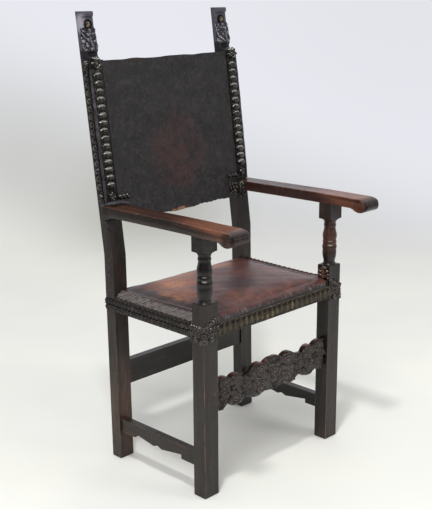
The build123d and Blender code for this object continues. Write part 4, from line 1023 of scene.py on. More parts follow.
def almond_trim(count, boss_half, boss_along, rise, edge):
    """Plump almond bosses lying across the strip, one under another, each with a crest above
    its middle and a fold along it, between plain margins that end in a thin bead."""

    def height(a, b):
        near = rows_of(BOSS_PITCH, count, a) + 0.5 * ripple(a, b, 60, 14)
        taper = np.clip(1 - (np.abs(b) / boss_half) ** 2.2, 0, 1)
        across = np.abs(near - 0.12 * boss_along) / np.maximum(boss_along * taper**0.55, 1e-3)
        body = taper**0.55 * np.clip(1 - across**2, 0, 1) ** 0.75
        fold = 0.9 * np.exp(-(((near + 0.3 * boss_along) / 1.0) ** 2)) * (body > 0.2)
        line = 0.8 * np.exp(-(((np.abs(b) - edge) / 0.8) ** 2))
        gap, out = np.abs(near) - BOSS_PITCH / 2, np.abs(b) - 0.62 * boss_half
        pearl = 1.6 * np.sqrt(np.clip(1 - (gap**2 + out**2) / 5, 0, 1))
        worn = 1 + 0.18 * ripple(a, b, 70, 15)
        return worn * rise * body - fold + line + pearl + 0.35 * ripple(a, b, 16, 12)

    return height


def with_scroll(height, at, radius, rise):
    """A strip's pattern with a raised scroll in place of it around a point near its end."""

    def with_it(a, b):
        """The scroll inside its radius, and the strip's own pattern elsewhere."""
        distance, angle = np.hypot(a - at, b), np.arctan2(b, a - at)
        ridge = np.abs(np.sin(np.pi * (distance / (0.5 * radius) - angle / (2 * np.pi)))) ** 0.6
        scroll = rise * smooth(radius, 0.8 * radius, distance) * (0.3 + 0.7 * ridge)
        return np.where(distance < radius, scroll, height(a, b))

    return with_it


X_WAY, Y_WAY, Z_WAY = np.eye(3)
SEAT_TRIM_Z = 462.5
SEAT_TRIM_WIDTH = 35.0
strip(
    "seat_trim_front_embossed", np.array([0, LEG_FRONT, SEAT_TRIM_Z]), X_WAY, Z_WAY, -Y_WAY,
    2 * LEG_INNER + 1, SEAT_TRIM_WIDTH, gadroon_trim, front_brass, ["seat_trim_front"],
)
side_back = float(post_front(445)) + POST_DEPTH
side_start = LEG_FRONT + 50.0
for side, way in SIDES:
    strip(
        f"seat_trim_embossed_{side}",
        np.array([way * HALF_WIDTH, (side_start + side_back) / 2, SEAT_TRIM_Z]),
        Y_WAY, Z_WAY, way * X_WAY, side_back - side_start, SEAT_TRIM_WIDTH,
        scroll_trim, side_brass, [f"seat_trim_{side}"],
    )


def beaded_border(way):
    """A row of dark beads, 18 mm apart, standing along the upper edge of a side trim: round
    sections along the edge that swell and narrow."""
    y = np.linspace(side_start, side_back - 30, 340)[:, None]
    turn = np.linspace(0, 2 * np.pi, 13)[None, :-1]
    near = rows_of(18.0, MANY, y + 1.5 * ripple(y, 0 * y, 80, 74))
    swell = dome(near / 8.2)
    radius = (1.2 + 4.6 * swell) * np.minimum(1, 0.3 + np.minimum(y - y[0], y[-1] - y) / 4)
    x = HALF_WIDTH - 1.5 + 0.8 * radius * np.cos(turn)
    return tube(np.stack([way * x, y + 0 * turn, 482.5 + radius * np.sin(turn)], -1))


for side, way in SIDES:
    beads = beaded_border(way)
    shares = np.full(len(beads[0]), 0.55)
    piece(f"seat_trim_beads_{side}", beads, side_brass, relief=shares)


def mount_height(a, b, top):
    """Relief of a corner mount, a across a face from the corner and b up from its lower edge:
    two roundels stand low on it, a leaf climbs its upper edge and curls fill what is left."""
    roundels = np.maximum(
        coils(a, b, 400.0, 9.5, 4.0, 9.0, 1), coils(a, b, 400.0, 10.5, 26.0, 9.0, -1)
    )
    eyes = np.maximum(
        np.clip(1 - ((a - 4) ** 2 + (b - 9.5) ** 2) / 7, 0, 1),
        np.clip(1 - ((a - 26) ** 2 + (b - 10.5) ** 2) / 7, 0, 1),
    )
    filling = np.maximum(coils(a, b, 13.0, 25.0, 3.0, 7.6, 1), coils(a, b, 13.0, 37.0, 9.0, 7.0, -1))
    under = b - (top - 5.5)
    crest = dome(under / 5.5) * (0.72 + 0.28 * np.cos(2 * np.pi * a / 8.0))
    highest = np.maximum.reduce([roundels, eyes**0.5, 0.75 * filling, 0.95 * crest])
    return 1.2 + 4.6 * highest + 0.3 * ripple(a, b, 9, 61)


def corner_mount(way):
    """Both faces of a front post's corner in one sheet: a runs from the inner edge of the
    front face to the corner and on along the outer face."""
    a = np.linspace(-50.5, 50.5, 102)[None, :]
    share = np.linspace(0, 1, 56)[:, None]
    low = 432.5 + 1.2 * np.cos(2 * np.pi * a / 12.6)
    climb = smooth(0, -50, a)
    high = 480.5 + 20 * climb + 1.3 * np.cos(2 * np.pi * a / 9)
    z = low + share * (high - low)
    a = a + 0 * share
    relief = mount_height(np.abs(a), z - low, high - low)
    relief = relief * smooth(0, 0.05, share) * smooth(1, 0.96, share)
    front_face = a < 0
    x = np.where(front_face, HALF_WIDTH + a, HALF_WIDTH)
    y = np.where(front_face, LEG_FRONT, LEG_FRONT + a)
    # Outward is -y on the front face and +x on the outer one, and turns over 6 mm at the corner.
    turn = np.pi / 2 * np.clip(a / 12 + 0.5, 0, 1)
    outward = np.stack([np.sin(turn), -np.cos(turn), 0 * turn], -1)
    base = np.stack([x, y, z], -1)
    front, back = base + relief[..., None] * outward, base + 0.02 * outward
    for grid in (front, back):
        grid[..., 0] *= way
    return slab(front, back), np.stack([relief / 5.8, 0 * relief])


for side, way in SIDES:
    mount, mount_relief = corner_mount(way)
    piece(f"corner_mount_{side}", mount, mount_brass, relief=mount_relief)


def three_lumps(a, b):
    """Relief of a short strip: three leaning lumps side by side, a little uneven."""
    return 5.6 * dome(rows_of(13.5, 3, a + 0.3 * b) / 6.2, b / 6.8) + 0.9 * ripple(a, b, 9, 62)


TRIM_BOTTOM = ARM_TOP + 3.0
TRIM_LENGTH = up_slope(BACK_TOP) - up_slope(TRIM_BOTTOM)
TRIM_MIDDLE = (up_slope(BACK_TOP) + up_slope(TRIM_BOTTOM)) / 2
BACK_BOSSES = int((TRIM_LENGTH - 58) // BOSS_PITCH)  # between the corner leaves
edge_pattern = almond_trim(BACK_BOSSES, 9, 8.4, 5.6, 10)
for at in (TRIM_LENGTH / 2 - 13, -TRIM_LENGTH / 2 + 13):
    edge_pattern = with_scroll(edge_pattern, at, 11.5, 5.5)
for side, way in SIDES:
    strip(
        f"back_trim_embossed_{side}",
        BACK_ORIGIN + way * (HALF_WIDTH - 20) * X_WAY + TRIM_MIDDLE * SLOPE_UP + LEATHER * SLOPE_OUT,
        SLOPE_UP, X_WAY, SLOPE_OUT, TRIM_LENGTH, 40.0,
        almond_trim(BACK_BOSSES, 16, 9.8, 8.2, 18.6), back_brass, [f"back_trim_{side}"],
    )
    strip(
        f"back_edge_embossed_{side}",
        BACK_ORIGIN + way * (HALF_WIDTH + LEATHER) * X_WAY + TRIM_MIDDLE * SLOPE_UP - 13 * SLOPE_OUT,
        SLOPE_UP, SLOPE_OUT, way * X_WAY, TRIM_LENGTH, 22.0,
        edge_pattern, edge_brass, [f"back_edge_trim_{side}"],
    )
    strip(
        f"back_foot_embossed_{side}",
        BACK_ORIGIN + way * (HALF_WIDTH - 40 - 21 - 0.6) * X_WAY + (up_slope(TRIM_BOTTOM) + 8) * SLOPE_UP
        + LEATHER * SLOPE_OUT,
        X_WAY, SLOPE_UP, SLOPE_OUT, 42.0, 16.0, three_lumps,
        edge_brass if way < 0 else side_brass, [f"back_foot_trim_{side}"],
    )


def flower(share, turn):
    """Height share of a flower: a ring of six leaves behind a ring of six petals round a
    button, at this share of its radius."""
    petal = np.abs(np.cos(3 * turn + 4 * share)) ** 0.5
    inner = 0.85 * petal * np.sin(np.pi * np.clip((share - 0.16) / 0.52, 0, 1)) ** 0.5
    behind = np.abs(np.sin(3 * turn + 3 * share)) ** 0.6
    outer = 0.62 * behind * np.sin(np.pi * np.clip((share - 0.45) / 0.55, 0, 1)) ** 0.4
    petals = np.maximum(inner, outer)
    return np.maximum(petals, dome(share / 0.24)) + 0.14 * smooth(1, 0.9, share)


def curled_leaf(share, turn):
    """Height share of a leaf curled on itself: one and a half turns of a ridge that swells
    towards the rim, its edge cut into lobes."""
    ridge = np.abs(np.sin(np.pi * (share / 0.55 - turn / (2 * np.pi)))) ** 0.6
    lobes = 0.9 + 0.1 * np.cos(7 * turn)
    body = (0.25 + 0.75 * ridge * (0.6 + 0.4 * share)) * smooth(1, 0.86, share / lobes)
    return body + 0.1 * smooth(1, 0.95, share)


def plain_dome(share, turn):
    """Height share of a forged nail head: a low dome, a little higher at one side."""
    return np.sqrt(np.clip(1.04 - share**2, 0, 1)) + 0.04 * np.cos(turn)


def boss_at(pattern, origin, along, across, out, radius, rise, turn=0.0, stretch=1.0, lobed=0.0):
    """One round boss as rings of points from its middle to its rim, closed by a flat back;
    stretch makes it oval, and lobed is how deep five lobes are cut into its outline."""
    rings = np.linspace(0, 1, 19)[:, None] * radius
    around = np.linspace(0, 2 * np.pi, 61)[None, :-1]
    height = rise * pattern(rings / radius, around + turn)
    reach = rings * (1 + lobed * (np.cos(5 * around + turn) - 0.3))
    a, b = reach * np.cos(around), reach * np.sin(around) * stretch
    height = np.broadcast_to(height, a.shape)
    top = frame_points(origin, along, across, out, a, b, height)
    base = frame_points(origin, along, across, out, a[-1:], b[-1:], 0 * height[-1:])
    shares = np.concatenate([height[1:], 0 * height[-1:]]).ravel() / rise
    return tube(np.concatenate([top[1:], base])), [*shares, 1.0, 0.0]


def boss_piece(name, parts, finish, replaces=()):
    """Several bosses, each as boss_at gives it, as one piece."""
    shapes, shares = zip(*parts)
    return piece(name, joined(*shapes), finish, replaces, np.concatenate(shares))


# Upper corners: a leaf curled round a scroll, standing over the edge of the leather. Lower
# ends: a small one.
parts = []
for way in (1, -1):
    for height, inset, radius, rise in (
        (1119.0, 18.0, 18.5, 9.0), (TRIM_BOTTOM + 14, 20.0, 11.5, 5.0)
    ):
        centre = BACK_ORIGIN + way * (HALF_WIDTH - inset) * X_WAY + up_slope(height) * SLOPE_UP
        parts.append(
            boss_at(
                curled_leaf, centre + (LEATHER + 0.8) * SLOPE_OUT, way * X_WAY, SLOPE_UP, SLOPE_OUT,
                radius, rise, 2.4 + 0.01 * height, 1.0, 0.13,
            )
        )
    outer = BACK_ORIGIN + way * (HALF_WIDTH + LEATHER) * X_WAY + up_slope(1117) * SLOPE_UP
    outer = outer - 10 * SLOPE_OUT
    parts.append(boss_at(curled_leaf, outer, -SLOPE_OUT, SLOPE_UP, way * X_WAY, 10.5, 6.5, 0.6))
boss_piece("corner_rosettes_chased", parts, back_brass, ["corner_rosettes"])

arm_rear_z = ARM_TOP - ARM_DROP - 14
parts = [
    boss_at(
        flower, np.array([way * ARM_INNER, float(post_front(arm_rear_z)) - 25, arm_rear_z + 1]),
        Y_WAY, Z_WAY, -way * X_WAY, 12.5, 7.5, way,
    )
    for way in (1, -1)
]
boss_piece("arm_rosettes_chased", parts, back_brass, ["arm_rosettes"])

# Two dark oval nails, one under the other, below the rear end of each arm.
parts = [
    boss_at(
        plain_dome, np.array([way * HALF_WIDTH, float(post_front(z)) + 9.5, z]),
        Y_WAY, Z_WAY, way * X_WAY, radius, rise, 0.0, 1.45,
    )
    for way in (1, -1)
    for z, radius, rise in ((698.0, 4.6, 3.6), (678.0, 3.4, 2.0))
]
boss_piece("post_nails_forged", parts, back_brass, ["post_nails"])


SPRAY_RADIUS = 26.0


def spray(share, turn):
    """Height share of a spray of buds: staggered rows of domes crowded together inside an
    outline of uneven lobes."""
    lobed = 1 - 0.16 * (1 + np.cos(5 * turn + 0.7)) + 0.1 * np.cos(2 * turn + 1.0)
    lobed = lobed - 0.06 * np.cos(9 * turn)
    a, b = SPRAY_RADIUS * share * lobed * np.cos(turn), SPRAY_RADIUS * share * lobed * np.sin(turn)
    a, b = a + 1.2 * ripple(a, b, 22, 64), b + 1.2 * ripple(a, b, 20, 65)
    crowd = np.maximum.reduce([
        dome(rows_of(17.0, MANY, a - 8.5 * (number % 2)) / 7.8, (b - row) / 6.6)
        for number, row in enumerate(np.arange(-27, 30, 13.5))
    ])
    return (0.15 + 0.85 * crowd * (1 + 0.25 * ripple(a, b, 26, 66))) * smooth(1.0, 0.9, share)


# The roll over an arm's rear end: places outward from the middle, behind the post's front and up.
LEDGE = np.array([
    (279, 16, 740), (281, 0, 744), (268, -13, 747), (244, -18, 748), (222, -16, 744), (203, -9, 737),
], float)


def arm_ledge(way):
    """The leather's lower corner, rolled over the rear end of the arm: round sections along a
    smooth curve from the post's outer face across to the back, thinner at both ends."""
    share = np.linspace(0, 1, 60)
    knots = np.linspace(0, 1, len(LEDGE))
    line = np.stack([np.interp(share, knots, LEDGE[:, i]) for i in range(3)], -1)
    for _ in range(20):
        line[1:-1] = (line[:-2] + 2 * line[1:-1] + line[2:]) / 4
    line = line * (way, 1, 1) + (0, float(post_front(ARM_TOP)), 0)
    run = np.gradient(line, axis=0) * (1, 1, 0)
    beside = np.cross(run / np.linalg.norm(run, axis=1, keepdims=True), Z_WAY)[:, None]
    turn = np.linspace(0, 2 * np.pi, 17)[None, :-1]
    radius = 6.8 * (0.3 + 0.7 * np.sin(np.pi * np.clip(share, 0.02, 0.98)) ** 0.35)[:, None]
    radius = radius + 0.4 * ripple(line[:, :1], 5 * turn, 16, 68)
    beside_line = line[:, None] + (radius * np.cos(turn))[..., None] * beside
    return tube(beside_line + (radius * np.sin(turn))[..., None] * Z_WAY)


def corner_roll(way):
    """The leather's fold over the post's edge, padded to a soft roll between the two strips:
    round sections up the slope, a little uneven."""
    share = np.linspace(0, 1, 120)[:, None]
    turn = np.linspace(0, 2 * np.pi, 17)[None, :-1]
    run = up_slope(TRIM_BOTTOM + 2) + share * (up_slope(BACK_TOP - 22) - up_slope(TRIM_BOTTOM + 2))
    swell = 0.4 + 0.6 * np.sin(np.pi * np.clip(share, 0.01, 0.99)) ** 0.2
    radius = (4.4 + 0.5 * ripple(run, 5 * turn, 30, 69)) * swell
    x = HALF_WIDTH + 0.6 + radius * np.cos(turn)
    out = LEATHER - 1.6 + radius * np.sin(turn)
    return tube(frame_points(BACK_ORIGIN, X_WAY, SLOPE_UP, SLOPE_OUT, way * x, run + 0 * turn, out))


for side, way in SIDES:
    sprays = [
        boss_at(
            spray,
            BACK_ORIGIN + way * 216 * X_WAY + up_slope(722) * SLOPE_UP + (LEATHER - 0.6) * SLOPE_OUT,
            -way * X_WAY, SLOPE_UP, SLOPE_OUT, 19, 6.0, way,
        ),
        boss_at(
            spray, np.array([way * ARM_INNER, float(post_front(727)) - 19, 727.0]),
            Y_WAY, Z_WAY, -way * X_WAY, 21, 4.6, 0.6 + way, 0.82,
        ),
    ]
    if way > 0:
        below_arm = np.array([way * 252, float(post_front(698)), 698.0])
        sprays.append(boss_at(spray, below_arm, X_WAY, Z_WAY, -Y_WAY, 21, 4.2, 2.0, 0.5))
    boss_piece(f"back_corner_spray_{side}", sprays, side_brass)
    if way < 0:
        piece(f"arm_ledge_{side}", arm_ledge(way), rolled_sheen_hide)
    piece(f"back_corner_roll_{side}", corner_roll(way), rolled_sheen_hide)


def nail_ring(share, turn):
    """Height share of the beaded washer under a finial's nail."""
    beads = 0.5 * np.abs(np.cos(8 * turn)) ** 0.7
    return 0.5 + beads * smooth(1.0, 0.9, share) * smooth(0.6, 0.7, share)


low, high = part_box("finial_nails")
nail_y, nail_z = low.y / METRE + 4.0, (low.z + high.z) / 2 / METRE
parts = [
    boss_at(
        nail_ring, np.array([way * LEG_X, nail_y, nail_z]),
        way * X_WAY, SLOPE_UP, SLOPE_OUT, 13.0, 2.0, 0.0,
    )
    for way in (1, -1)
]
boss_piece("finial_nail_rings", parts, black_iron)


PLATE_FOOT, PLATE_RISE = 503, 34


def leaf_plate(way):
    """A pointed leaf on the inner face of a front post: midrib, veins and lobed edges."""
    up = np.linspace(0, 1, 40)[:, None]
    s = np.linspace(-1, 1, 33)[None, :]
    half = 19 * np.cos(np.pi / 2 * up**2.2) ** 0.8 * (1 + 0.1 * np.cos(2 * np.pi * 3.5 * up))
    veins = 1.7 * np.cos(2 * np.pi * (3.2 * up - 1.0 * np.abs(s)))
    relief = 3.0 + 2.6 * np.exp(-((s / 0.2) ** 2)) + veins * smooth(0.1, 0.3, np.abs(s))
    relief = relief * smooth(1, 0.9, np.abs(s)) * smooth(1, 0.95, up) + 0.6
    a, b = s * half, PLATE_FOOT + PLATE_RISE * up + 0 * s
    origin = np.array([way * LEG_INNER, LEG_Y, 0.0])
    front = frame_points(origin, Y_WAY, Z_WAY, -way * X_WAY, a, b, relief)
    back = frame_points(origin, Y_WAY, Z_WAY, -way * X_WAY, a, b, 0 * relief)
    return slab(front, back), np.stack([relief / relief.max(), 0 * relief])


for side, way in SIDES:
    plate, plate_relief = leaf_plate(way)
    piece(
        f"leaf_plate_chased_{side}", plate, leaf_brass, [f"leaf_plate_{side}"],
        plate_relief,
    )

# ---- seat ------------------------------------------------------------------------------------
SEAT_EDGE, SEAT_CROWN = 478.0, 42.0
SEAT_FRONT = LEG_FRONT
SEAT_FOOT = 445.0
SEAM = 0.6
SKIRT = SEAT_EDGE - SEAT_FOOT
# This far in from the left, the right and either end, about a third of the seat's rise is left.
LEFT_RUN, RIGHT_RUN, END_RUN = 62, 42, 25


def seat_surface(a, b):
    """Where the leather lies: a and b run across and along it, and past each edge of the seat
    they run down the rails. The top rises steeply from the edges to a nearly level middle, and
    a little more steeply on the right than on the left."""
    x, y = np.clip(a, -HALF_WIDTH, HALF_WIDTH), np.clip(b, SEAT_FRONT, SEAT_BACK)
    side_run = (HALF_WIDTH - np.abs(x)) / np.where(x < 0, RIGHT_RUN, LEFT_RUN)
    runs = [side_run, (y - SEAT_FRONT) / END_RUN, (SEAT_BACK - y) / END_RUN]
    run = -np.log(sum(np.exp(-6 * r) for r in runs)) / 6
    run = np.clip(run, 0, None)
    down = np.maximum(np.abs(a) - HALF_WIDTH, 0) + np.maximum(SEAT_FRONT - b, 0)
    down = down + np.maximum(b - SEAT_BACK, 0)
    z = SEAT_EDGE + SEAT_CROWN * (1 - np.exp(-run)) - down
    return x, y, z


def hidden_corner(a, b):
    """True where a post stands instead of leather."""
    front = (np.abs(a) > LEG_INNER - SEAM) & (b < LEG_BACK + SEAM)
    rear = (np.abs(a) > POST_INNER - SEAM) & (b > float(post_front(500)) - SEAM)
    return front | rear


# The seat's cover swells as a coarser cloth: its points each way, the frames it is given, the
# pressure under it and the most that it may rise.
SWELL_COLUMNS, SWELL_ROWS, SWELL_FRAMES = 91, 71, 20
SWELL_PRESSURE, SWELL_CAP = 4.0, 6.0


def swollen(points, pinned):
    """How far stuffing pushes a cover out: cloth with pressure inside it, fastened where
    pinned; no point moves further than the cap."""
    mesh = bpy.data.meshes.new("swelling")
    quads = grid_quads(SWELL_ROWS, SWELL_COLUMNS)
    mesh.from_pydata((points * METRE).tolist(), [], quads.tolist())
    body = bpy.data.objects.new("swelling", mesh)
    bpy.context.scene.collection.objects.link(body)
    group = body.vertex_groups.new(name="nailed")
    group.add(np.flatnonzero(pinned).tolist(), 1.0, "REPLACE")
    cloth = body.modifiers.new("cover", "CLOTH")
    cloth.settings.quality = 5
    cloth.settings.mass = 0.4
    cloth.settings.tension_stiffness = 40
    cloth.settings.compression_stiffness = 40
    cloth.settings.shear_stiffness = 15
    cloth.settings.bending_stiffness = 4
    cloth.settings.use_pressure = True
    cloth.settings.uniform_pressure_force = SWELL_PRESSURE
    cloth.settings.vertex_group_mass = "nailed"
    cloth.settings.effector_weights.gravity = 0
    cloth.point_cache.frame_start, cloth.point_cache.frame_end = 1, SWELL_FRAMES
    for number in range(1, SWELL_FRAMES + 1):
        bpy.context.scene.frame_set(number)
    found = body.evaluated_get(bpy.context.evaluated_depsgraph_get()).data
    moved = np.zeros(len(points) * 3)
    found.vertices.foreach_get("co", moved)
    shift = moved.reshape(-1, 3) / METRE - points
    bpy.context.scene.frame_set(1)
    bpy.data.objects.remove(body)
    bpy.data.meshes.remove(mesh)
    size = np.linalg.norm(shift, axis=1, keepdims=True)
    return shift * np.minimum(1, SWELL_CAP / np.maximum(size, 1e-9))


def hat_weights(fine, coarse):
    """Matrix that reads values at fine positions from those at coarse, straight between them."""
    place = np.clip(np.searchsorted(coarse, fine) - 1, 0, len(coarse) - 2)
    share = (fine - coarse[place]) / (coarse[place + 1] - coarse[place])
    weights = np.zeros((len(fine), len(coarse)))
    weights[np.arange(len(fine)), place] = 1 - share
    weights[np.arange(len(fine)), place + 1] = share
    return weights


def spaced(stops, step_sizes):
    """Positions through the stops, each stretch cut into steps of about its own size."""
    runs = [
        np.linspace(low, high, max(int(round((high - low) / size)), 1) + 1)[:-1]
        for low, high, size in zip(stops[:-1], stops[1:], step_sizes)
    ]
    return np.concatenate([*runs, [stops[-1]]])


def pleats(x, y):
    """Gathered leather on the shoulders of the seat, as heights in mm and as shares of scuff wear
    and painted highlight on its crests: slanting ridges 12 mm apart along the right side, round
    scallops 17.5 mm apart standing along the left one, and uneven lumps 12 mm apart along the
    front roll."""
    side_inset, front_inset = HALF_WIDTH - np.abs(x), y - SEAT_FRONT
    ends = smooth(0, 10, front_inset) * smooth(10, 30, SEAT_BACK - y)
    place = y + 1.1 * side_inset + 3 * ripple(x, y, 60, 21)
    wave = np.abs(np.sin(np.pi * place / 12)) ** 0.8 * (1 + 0.35 * ripple(x, y, 16, 24))
    right = wave * smooth(0, 4, side_inset) * smooth(34, 24, side_inset) * ends * (x < 0)
    scallop = np.abs(np.sin(np.pi * (y + 3 * ripple(x, y, 90, 25)) / 17.5)) ** 0.6
    left = (0.35 + 0.65 * scallop) * smooth(0, 4, side_inset) * smooth(19, 11, side_inset)
    left = left * ends * (x > 0)
    place = x + 0.5 * front_inset + 4 * ripple(x, y, 40, 22)
    curl = np.abs(np.sin(np.pi * (place / 12))) ** 0.7 * (1 + 0.5 * ripple(x, y, 24, 26))
    front = curl * smooth(0, 3, front_inset) * smooth(15, 9, front_inset)
    return 4.2 * right + 10.5 * left + 3.6 * front, right + 0.1 * left + 0.42 * front


def seat_cover():
    """The seat's leather, as one sheet turned down over the rails and cut round the posts."""
    side_edge, inner = HALF_WIDTH + SKIRT, LEG_INNER - SEAM
    across_half = spaced([0, inner, HALF_WIDTH, side_edge], [5.5, 2.4, 6])
    across = np.concatenate([-across_half[:0:-1], across_half])
    cuts = [LEG_BACK + SEAM, float(post_front(500)) - SEAM]
    along = spaced(
        [SEAT_FRONT - SKIRT, SEAT_FRONT, SEAT_FRONT + 20, *cuts, SEAT_BACK, SEAT_BACK + SKIRT],
        [6, 2, 2.4, 2.4, 2.2, 6],
    )
    coarse_across = np.linspace(-side_edge, side_edge, SWELL_COLUMNS)
    coarse_along = np.linspace(SEAT_FRONT - SKIRT, SEAT_BACK + SKIRT, SWELL_ROWS)
    b, a = np.meshgrid(coarse_along, coarse_across, indexing="ij")
    start = np.stack(seat_surface(a, b), -1)
    edge = (np.abs(a) > HALF_WIDTH - 4) | (b < SEAT_FRONT + 4) | (b > SEAT_BACK - 4)
    edge = edge | hidden_corner(a, b)
    shift = swollen(start.reshape(-1, 3), edge.ravel()).reshape(start.shape)
    rows, columns = hat_weights(along, coarse_along), hat_weights(across, coarse_across)
    b, a = np.meshgrid(along, across, indexing="ij")
    x, y, z = seat_surface(a, b)
    points = np.stack([x, y, z], -1)
    points = points + np.stack([rows @ shift[..., i] @ columns.T for i in range(3)], -1)
    top = (np.abs(a) < HALF_WIDTH) & (b > SEAT_FRONT) & (b < SEAT_BACK)
    # The second share marks the gathers' crests: scuff wear with a painted highlight.
    lift, scuff_and_highlight = pleats(x, y)
    points[..., 2] += np.where(top, lift, 0)
    # The middle has sunk a little and keeps the dents of use.
    sag = np.exp(-((x / 130) ** 2) - (((y - 20) / 110) ** 2))
    dents = 0.9 * ripple(x, y, 70, 23) * smooth(20, 60, HALF_WIDTH - np.abs(x))
    points[..., 2] += np.where(top, dents - 2.0 * sag, 0)
    quads = grid_quads(*a.shape)
    centre_a, centre_b = a.ravel()[quads].mean(1), b.ravel()[quads].mean(1)
    quads = quads[~hidden_corner(centre_a, centre_b)]
    return points.reshape(-1, 3), quads, np.where(top, scuff_and_highlight, 0).ravel()


def surface_piece(name, points, faces, thickness, finish, slot, replaces, relief=None):
    """An open surface given its thickness on the inside, without points that no face uses."""
    used, numbers = np.unique(faces, return_inverse=True)
    relief = None if relief is None else relief[used]
    made = piece(name, (points[used], numbers.reshape(faces.shape)), finish, replaces, relief)
    wall = made.modifiers.new("thickness", "SOLIDIFY")
    wall.thickness = thickness * METRE
    wall.offset = -1
    wall.use_even_offset = False
    return made


points, faces, crest_scuff_and_highlight = seat_cover()
HIDE = 2.6  # how thick the leather is
seat = surface_piece(
    "seat_cover", points, faces, HIDE, seat_hide, "seat_leather", ["seat_leather"], crest_scuff_and_highlight
)

# Undersides of what lies on the rails, from the lowest strap up.
ACROSS_LOW, ALONG_LOW, CLOTH_LOW, PAD_LOW = 472.4, 474.4, 476.6, 477.6


def stuffing_pad():
    """Horsehair between the base cloth and the leather: the cover's shape, 15 mm inside it, so
    that it stays under the leather where that has sunk."""
    x = np.linspace(-LEG_INNER + 6, LEG_INNER - 6, 70)[None, :]
    y = np.linspace(SEAT_FRONT + 6, SEAT_BACK - 6, 60)[:, None]
    x, y = np.broadcast_arrays(x, y)
    top = seat_surface(x, y)[2] - 15.0 + 0.8 * ripple(x, y, 24, 31)
    under = PAD_LOW + 0 * top
    top = np.maximum(top, under + 0.5)
    return slab(np.stack([x, y, top], -1), np.stack([x, y, under], -1))


pad = piece("stuffing_pad", stuffing_pad(), horsehair, ["seat_stuffing"])

# ---- webbing and base cloth, seen from below ---------------------------------------------------


STRAP_WIDTH, STRAP_THICKNESS = 50.0, 1.6
STRAP_END = 265.0  # how far out the straps across the seat go, on the side rails


def strap(start, end, side, low, weave_phase):
    """A woven strap from start to end: stretched level between the rails, lifting and dipping a
    little five times on the way."""
    share = np.linspace(0, 1, 60)[:, None]
    across = np.linspace(-STRAP_WIDTH / 2, STRAP_WIDTH / 2, 9)[None, :]
    line = start + share[..., None] * (end - start)
    z = low + 0.25 * np.sin(2 * np.pi * 5 * share + weave_phase)
    base = line + across[..., None] * side
    lower = base.copy()
    lower[..., 2] = z + 0 * across
    return slab(lower + STRAP_THICKNESS * Z_WAY, lower)


straps = []
for number in range(5):
    y = (SEAT_FRONT + SEAT_BACK) / 2 + (number - 2) * 70.0
    start, end = np.array([-STRAP_END, y, 0]), np.array([STRAP_END, y, 0])
    straps.append(strap(start, end, Y_WAY, ACROSS_LOW, number * np.pi))
piece("webbing_across", joined(*straps), webbing, ["seat_webbing_cross"])
LONG_LOW, LONG_HIGH = (np.array(c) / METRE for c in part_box("seat_webbing_long"))
straps = []
for number in range(4):
    x = (number - 1.5) * 98.0
    start, end = np.array([x, LONG_LOW[1], 0]), np.array([x, LONG_HIGH[1], 0])
    straps.append(strap(start, end, X_WAY, ALONG_LOW, number * np.pi))
piece("webbing_along", joined(*straps), webbing, ["seat_webbing_long"])


def base_cloth():
    """Linen laid on the webbing, not quite flat."""
    low, high = (np.array(c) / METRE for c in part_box("seat_base_cloth"))
    x = np.linspace(-LEG_INNER + 4, LEG_INNER - 4, 91)[None, :]
    y = np.linspace(low[1], high[1], 81)[:, None]
    x, y = np.broadcast_arrays(x, y)
    z = CLOTH_LOW + 0.3 * ripple(x, y, 60, 41)
    return slab(np.stack([x, y, z + 0.8], -1), np.stack([x, y, z], -1))


cloth = piece("base_cloth", base_cloth(), linen, ["seat_base_cloth"])
low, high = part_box("seat_base_cloth")

# ---- back leather -------------------------------------------------------------------------------
OUTER = HALF_WIDTH + LEATHER
WRAP = 26.0
NOTCH = ARM_INNER - 0.8
LIP = up_slope(ARM_TOP - 3.6)


def back_cover():
    """The back's leather: a runs across it and past each post's outer face it runs backwards;
    b runs up the slope. It hangs a little hollow between the posts, with soft waves, and its
    lower edge is worn uneven."""
    inner = spaced([0, NOTCH], [4.0])
    across_half = np.concatenate([inner[:-1], spaced([NOTCH, OUTER, OUTER + WRAP], [5, 5])])
    across = np.concatenate([-across_half[:0:-1], across_half])
    along = spaced([up_slope(BACK_BOTTOM), LIP, up_slope(BACK_TOP)], [3.0, 4.0])
    b, a = np.meshgrid(along, across, indexing="ij")
    x = np.clip(a, -OUTER, OUTER)
    back = np.maximum(np.abs(a) - OUTER, 0)
    free = smooth(POST_INNER, POST_INNER - 60, np.abs(x))
    hollow = -3.5 * free * np.cos(np.pi / 2 * np.clip(x / POST_INNER, -1, 1))
    waves = 1.4 * ripple(x, b, 120, 51) * free + 0.5 * ripple(x, b, 35, 52) * free
    torn = smooth(LIP - 8, up_slope(BACK_BOTTOM), b)
    lobe = 4.5 * np.exp(-(((x + 10) / 90) ** 2))  # the edge hangs lowest just right of the middle
    edge = torn * (1.6 * ripple(x, 0 * x, 45, 53) + 0.9 * ripple(x, 0 * x, 11, 54) - lobe)
    edge = edge + 1.3 * smooth(up_slope(BACK_TOP - 30), up_slope(BACK_TOP), b) * ripple(x, 0 * x, 70, 57)
    curl = 3.0 * torn**2 * ripple(x, 0 * x, 150, 55) * free
    height = LEATHER + hollow + waves + curl - back
    points = frame_points(BACK_ORIGIN, X_WAY, SLOPE_UP, SLOPE_OUT, x, b + edge, height)
    quads = grid_quads(*a.shape)
    centre_a, centre_b = a.ravel()[quads].mean(1), b.ravel()[quads].mean(1)
    return points.reshape(-1, 3), quads[~((np.abs(centre_a) > NOTCH) & (centre_b < LIP))]


back = surface_piece("back_cover", *back_cover(), HIDE, back_hide, "back_leather", ["back_leather"])

